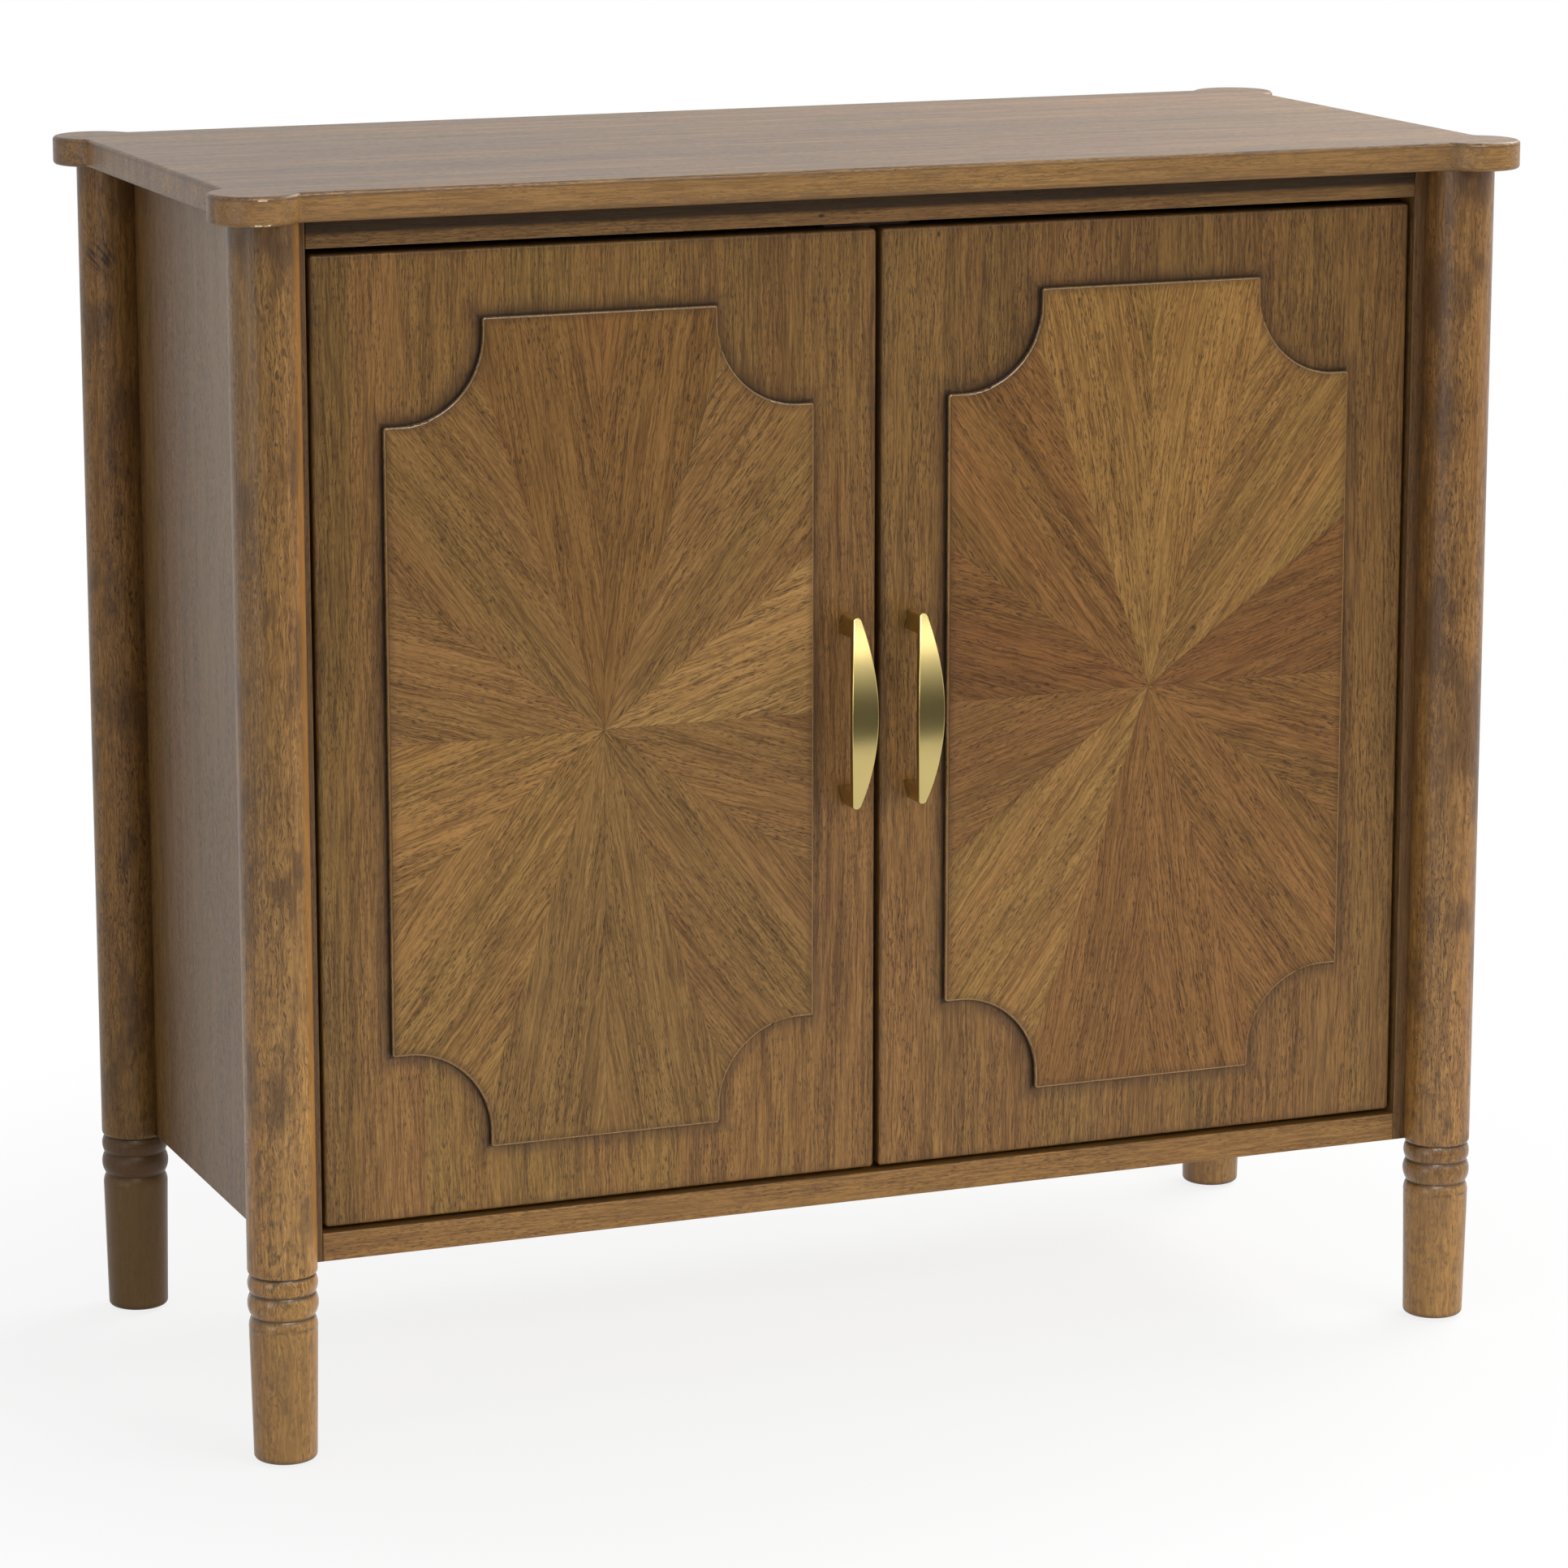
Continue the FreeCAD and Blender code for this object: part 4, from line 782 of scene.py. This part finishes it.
# Soft boxes: place, the point they look at, width and height, power, and whether polish shows them
LAMPS = {
    "key_light": ((2.1, -3.7, 2.3), (0.0, 0.0, 0.4), (2.0, 0.5), 50.0, False),
    "floor_light": ((0.1, -0.95, 0.12), (0.1, -0.2, 0.12), (2.2, 0.2), 4.6, False),
    "side_light": ((3.5, -2.2, 0.9), (0.0, -0.1, 0.4), (1.2, 1.4), 38.0, False),
    "left_light": ((-3.6, -2.2, 0.8), (0.0, 0.0, 0.4), (1.6, 1.2), 20.0, True),
    "top_light": ((2.2, 0.8, 2.4), (0.0, 0.0, 0.6), (2.0, 1.2), 52.0, True),
}

# The dim room that polish shows: left and right, near and far, floor and top of the wall
ROOM_SIDES = (-5.0, 6.0)
ROOM_DEPTH = (-1.1, -7.0)
ROOM_HEIGHT = (0.004, 2.6)
# Its glow at the floor and at the top of the wall
ROOM_GLOW = (0.07, 0.75)
# Sheets of light that polish shows there: corners and strength
BRIGHT_PANEL = ([(0.9, -4.2, 1.9), (0.9, -3.9, 3.0), (3.3, -2.9, 3.0), (3.3, -3.2, 1.9)], 2.4)
LAMP_ABOVE = ([(-1.2, -1.7, 3.0), (-1.2, -2.6, 1.9), (0.5, -2.6, 1.9), (0.5, -1.7, 3.0)], 10.0)


def add_stage(name, corners, material):
    """Flat sheets of the studio, four corners each, not part of the object."""
    mesh = bpy.data.meshes.new(name)
    faces = [tuple(range(first, first + 4)) for first in range(0, len(corners), 4)]
    mesh.from_pydata(corners, [], faces)
    mesh.materials.append(material)
    item = bpy.data.objects.new(name, mesh)
    bpy.context.scene.collection.objects.link(item)
    return item


def seen_by_eye(tree):
    """1 for rays from the camera, a mirror or glass, 0 for the rays that carry the light."""
    path = tree.nodes.new("ShaderNodeLightPath")
    total = path.outputs["Is Camera Ray"]
    for name in ("Is Glossy Ray", "Is Transmission Ray"):
        adder = tree.nodes.new("ShaderNodeMath")
        adder.operation = "MAXIMUM"
        tree.links.new(total, adder.inputs[0])
        tree.links.new(path.outputs[name], adder.inputs[1])
        total = adder.outputs[0]
    return total


def floor_material():
    """Pale paper, shaded a little under the object, that fades into the white room round it."""
    s = Shader("studio_floor")
    mottle = s.noise(s.place, 3.0, 2.0)
    color = s.mix(s.times(mottle, 0.04), (0.93, 0.93, 0.93), (0.88, 0.88, 0.88))
    s.finish(color, 0.7, Specular_IOR_Level=0.0)
    paper, out = s.tree.nodes["Principled BSDF"].outputs[0], s.tree.nodes["Material Output"]
    glow = s.node("ShaderNodeEmission", {"Color": WHITE, "Strength": 1.0}).outputs[0]
    reach = s.node("ShaderNodeVectorMath", {0: s.place}, operation="LENGTH").outputs["Value"]
    share = s.fade(reach, *FLOOR_FADE, 0.82, 1.0)
    shown = s.node("ShaderNodeMixShader", {0: share, 1: paper, 2: glow}).outputs[0]
    mixed = s.node("ShaderNodeMixShader", {0: seen_by_eye(s.tree), 1: paper, 2: shown}).outputs[0]
    s.tree.links.new(mixed, out.inputs[0])
    return s.material


def make_floor():
    """A wide pale floor."""
    half = FLOOR_REACH
    corners = [(-half, -half, 0), (half, -half, 0), (half, half, 0), (-half, half, 0)]
    add_stage("studio_floor", corners, floor_material())


def glowing(name, strength):
    """A material that gives off white light; the strength is a function of the shader."""
    s = Shader(name)
    out = s.node("ShaderNodeOutputMaterial")
    glow = s.node("ShaderNodeEmission", {"Color": WHITE, "Strength": strength(s)})
    s.tree.links.new(glow.outputs[0], out.inputs[0])
    return s.material


def room_glow(s):
    """Dim on the floor in front, and brighter up the wall."""
    glow = s.fade(s.z, 0.0, ROOM_HEIGHT[1], *ROOM_GLOW)
    return s.plus(glow, s.times(s.noise(s.place, 0.6, 2.0), 0.05))


def add_reflection(name, corners, strength):
    """Sheets that only polished surfaces see; they don't light the cabinet or cast a shadow."""
    sheet = add_stage(name, corners, glowing(name, strength))
    sheet.visible_camera = False
    sheet.visible_diffuse = False
    sheet.visible_shadow = False


def make_reflections():
    """What polish shows in front of the cabinet: a dim room, a bright panel and a lamp above."""
    (left, right), (near, far), (low, high) = ROOM_SIDES, ROOM_DEPTH, ROOM_HEIGHT
    floor = [(left, near, low), (left, far, low), (right, far, low), (right, near, low)]
    wall = [(left, far, low), (left, far, high), (right, far, high), (right, far, low)]
    add_reflection("dim_room", floor + wall, room_glow)
    for name, (corners, strength) in (("bright_panel", BRIGHT_PANEL), ("lamp_above", LAMP_ABOVE)):
        add_reflection(name, corners, lambda s: strength)


def make_world():
    """A white room, brighter to the eye than as a light."""
    world = bpy.data.worlds.new("studio")
    bpy.context.scene.world = world
    world.use_nodes = True
    tree = world.node_tree
    tree.nodes.clear()
    mix = tree.nodes.new("ShaderNodeMixShader")
    tree.links.new(seen_by_eye(tree), mix.inputs[0])
    for place, (color, strength) in enumerate(((ROOM_LIGHT, ROOM_STRENGTH), (WHITE, 1.0)), 1):
        background = tree.nodes.new("ShaderNodeBackground")
        background.inputs["Color"].default_value = color
        background.inputs["Strength"].default_value = strength
        tree.links.new(background.outputs[0], mix.inputs[place])
    out = tree.nodes.new("ShaderNodeOutputWorld")
    tree.links.new(mix.outputs[0], out.inputs[0])


def make_lamp(name, place, aim, size, power, shiny):
    """A rectangular soft box that looks at a point; polished surfaces show it where it is shiny."""
    lamp = bpy.data.lights.new(name, "AREA")
    lamp.shape = "RECTANGLE"
    lamp.size, lamp.size_y = size
    lamp.energy = power
    item = bpy.data.objects.new(name, lamp)
    item.location = place
    item.rotation_euler = (Vector(aim) - Vector(place)).to_track_quat("-Z", "Y").to_euler()
    item.visible_camera = False
    item.visible_glossy = shiny
    bpy.context.scene.collection.objects.link(item)


def make_camera():
    """The camera at the photograph's viewing angle."""
    camera = bpy.data.cameras.new("camera")
    camera.lens = CAMERA_LENS
    camera.sensor_width = SENSOR
    camera.clip_end = FARTHEST
    item = bpy.data.objects.new("camera", camera)
    item.location = CAMERA_PLACE
    item.rotation_euler = (math.pi / 2 - CAMERA_TILT, 0.0, -CAMERA_TURN)
    bpy.context.scene.collection.objects.link(item)
    bpy.context.scene.camera = item


dress_case()
dress_door("left")
dress_door("right")
dress_fittings()
make_floor()
make_reflections()
make_world()
for name, values in LAMPS.items():
    make_lamp(name, *values)
make_camera()
bpy.context.scene.view_settings.view_transform = "Standard"
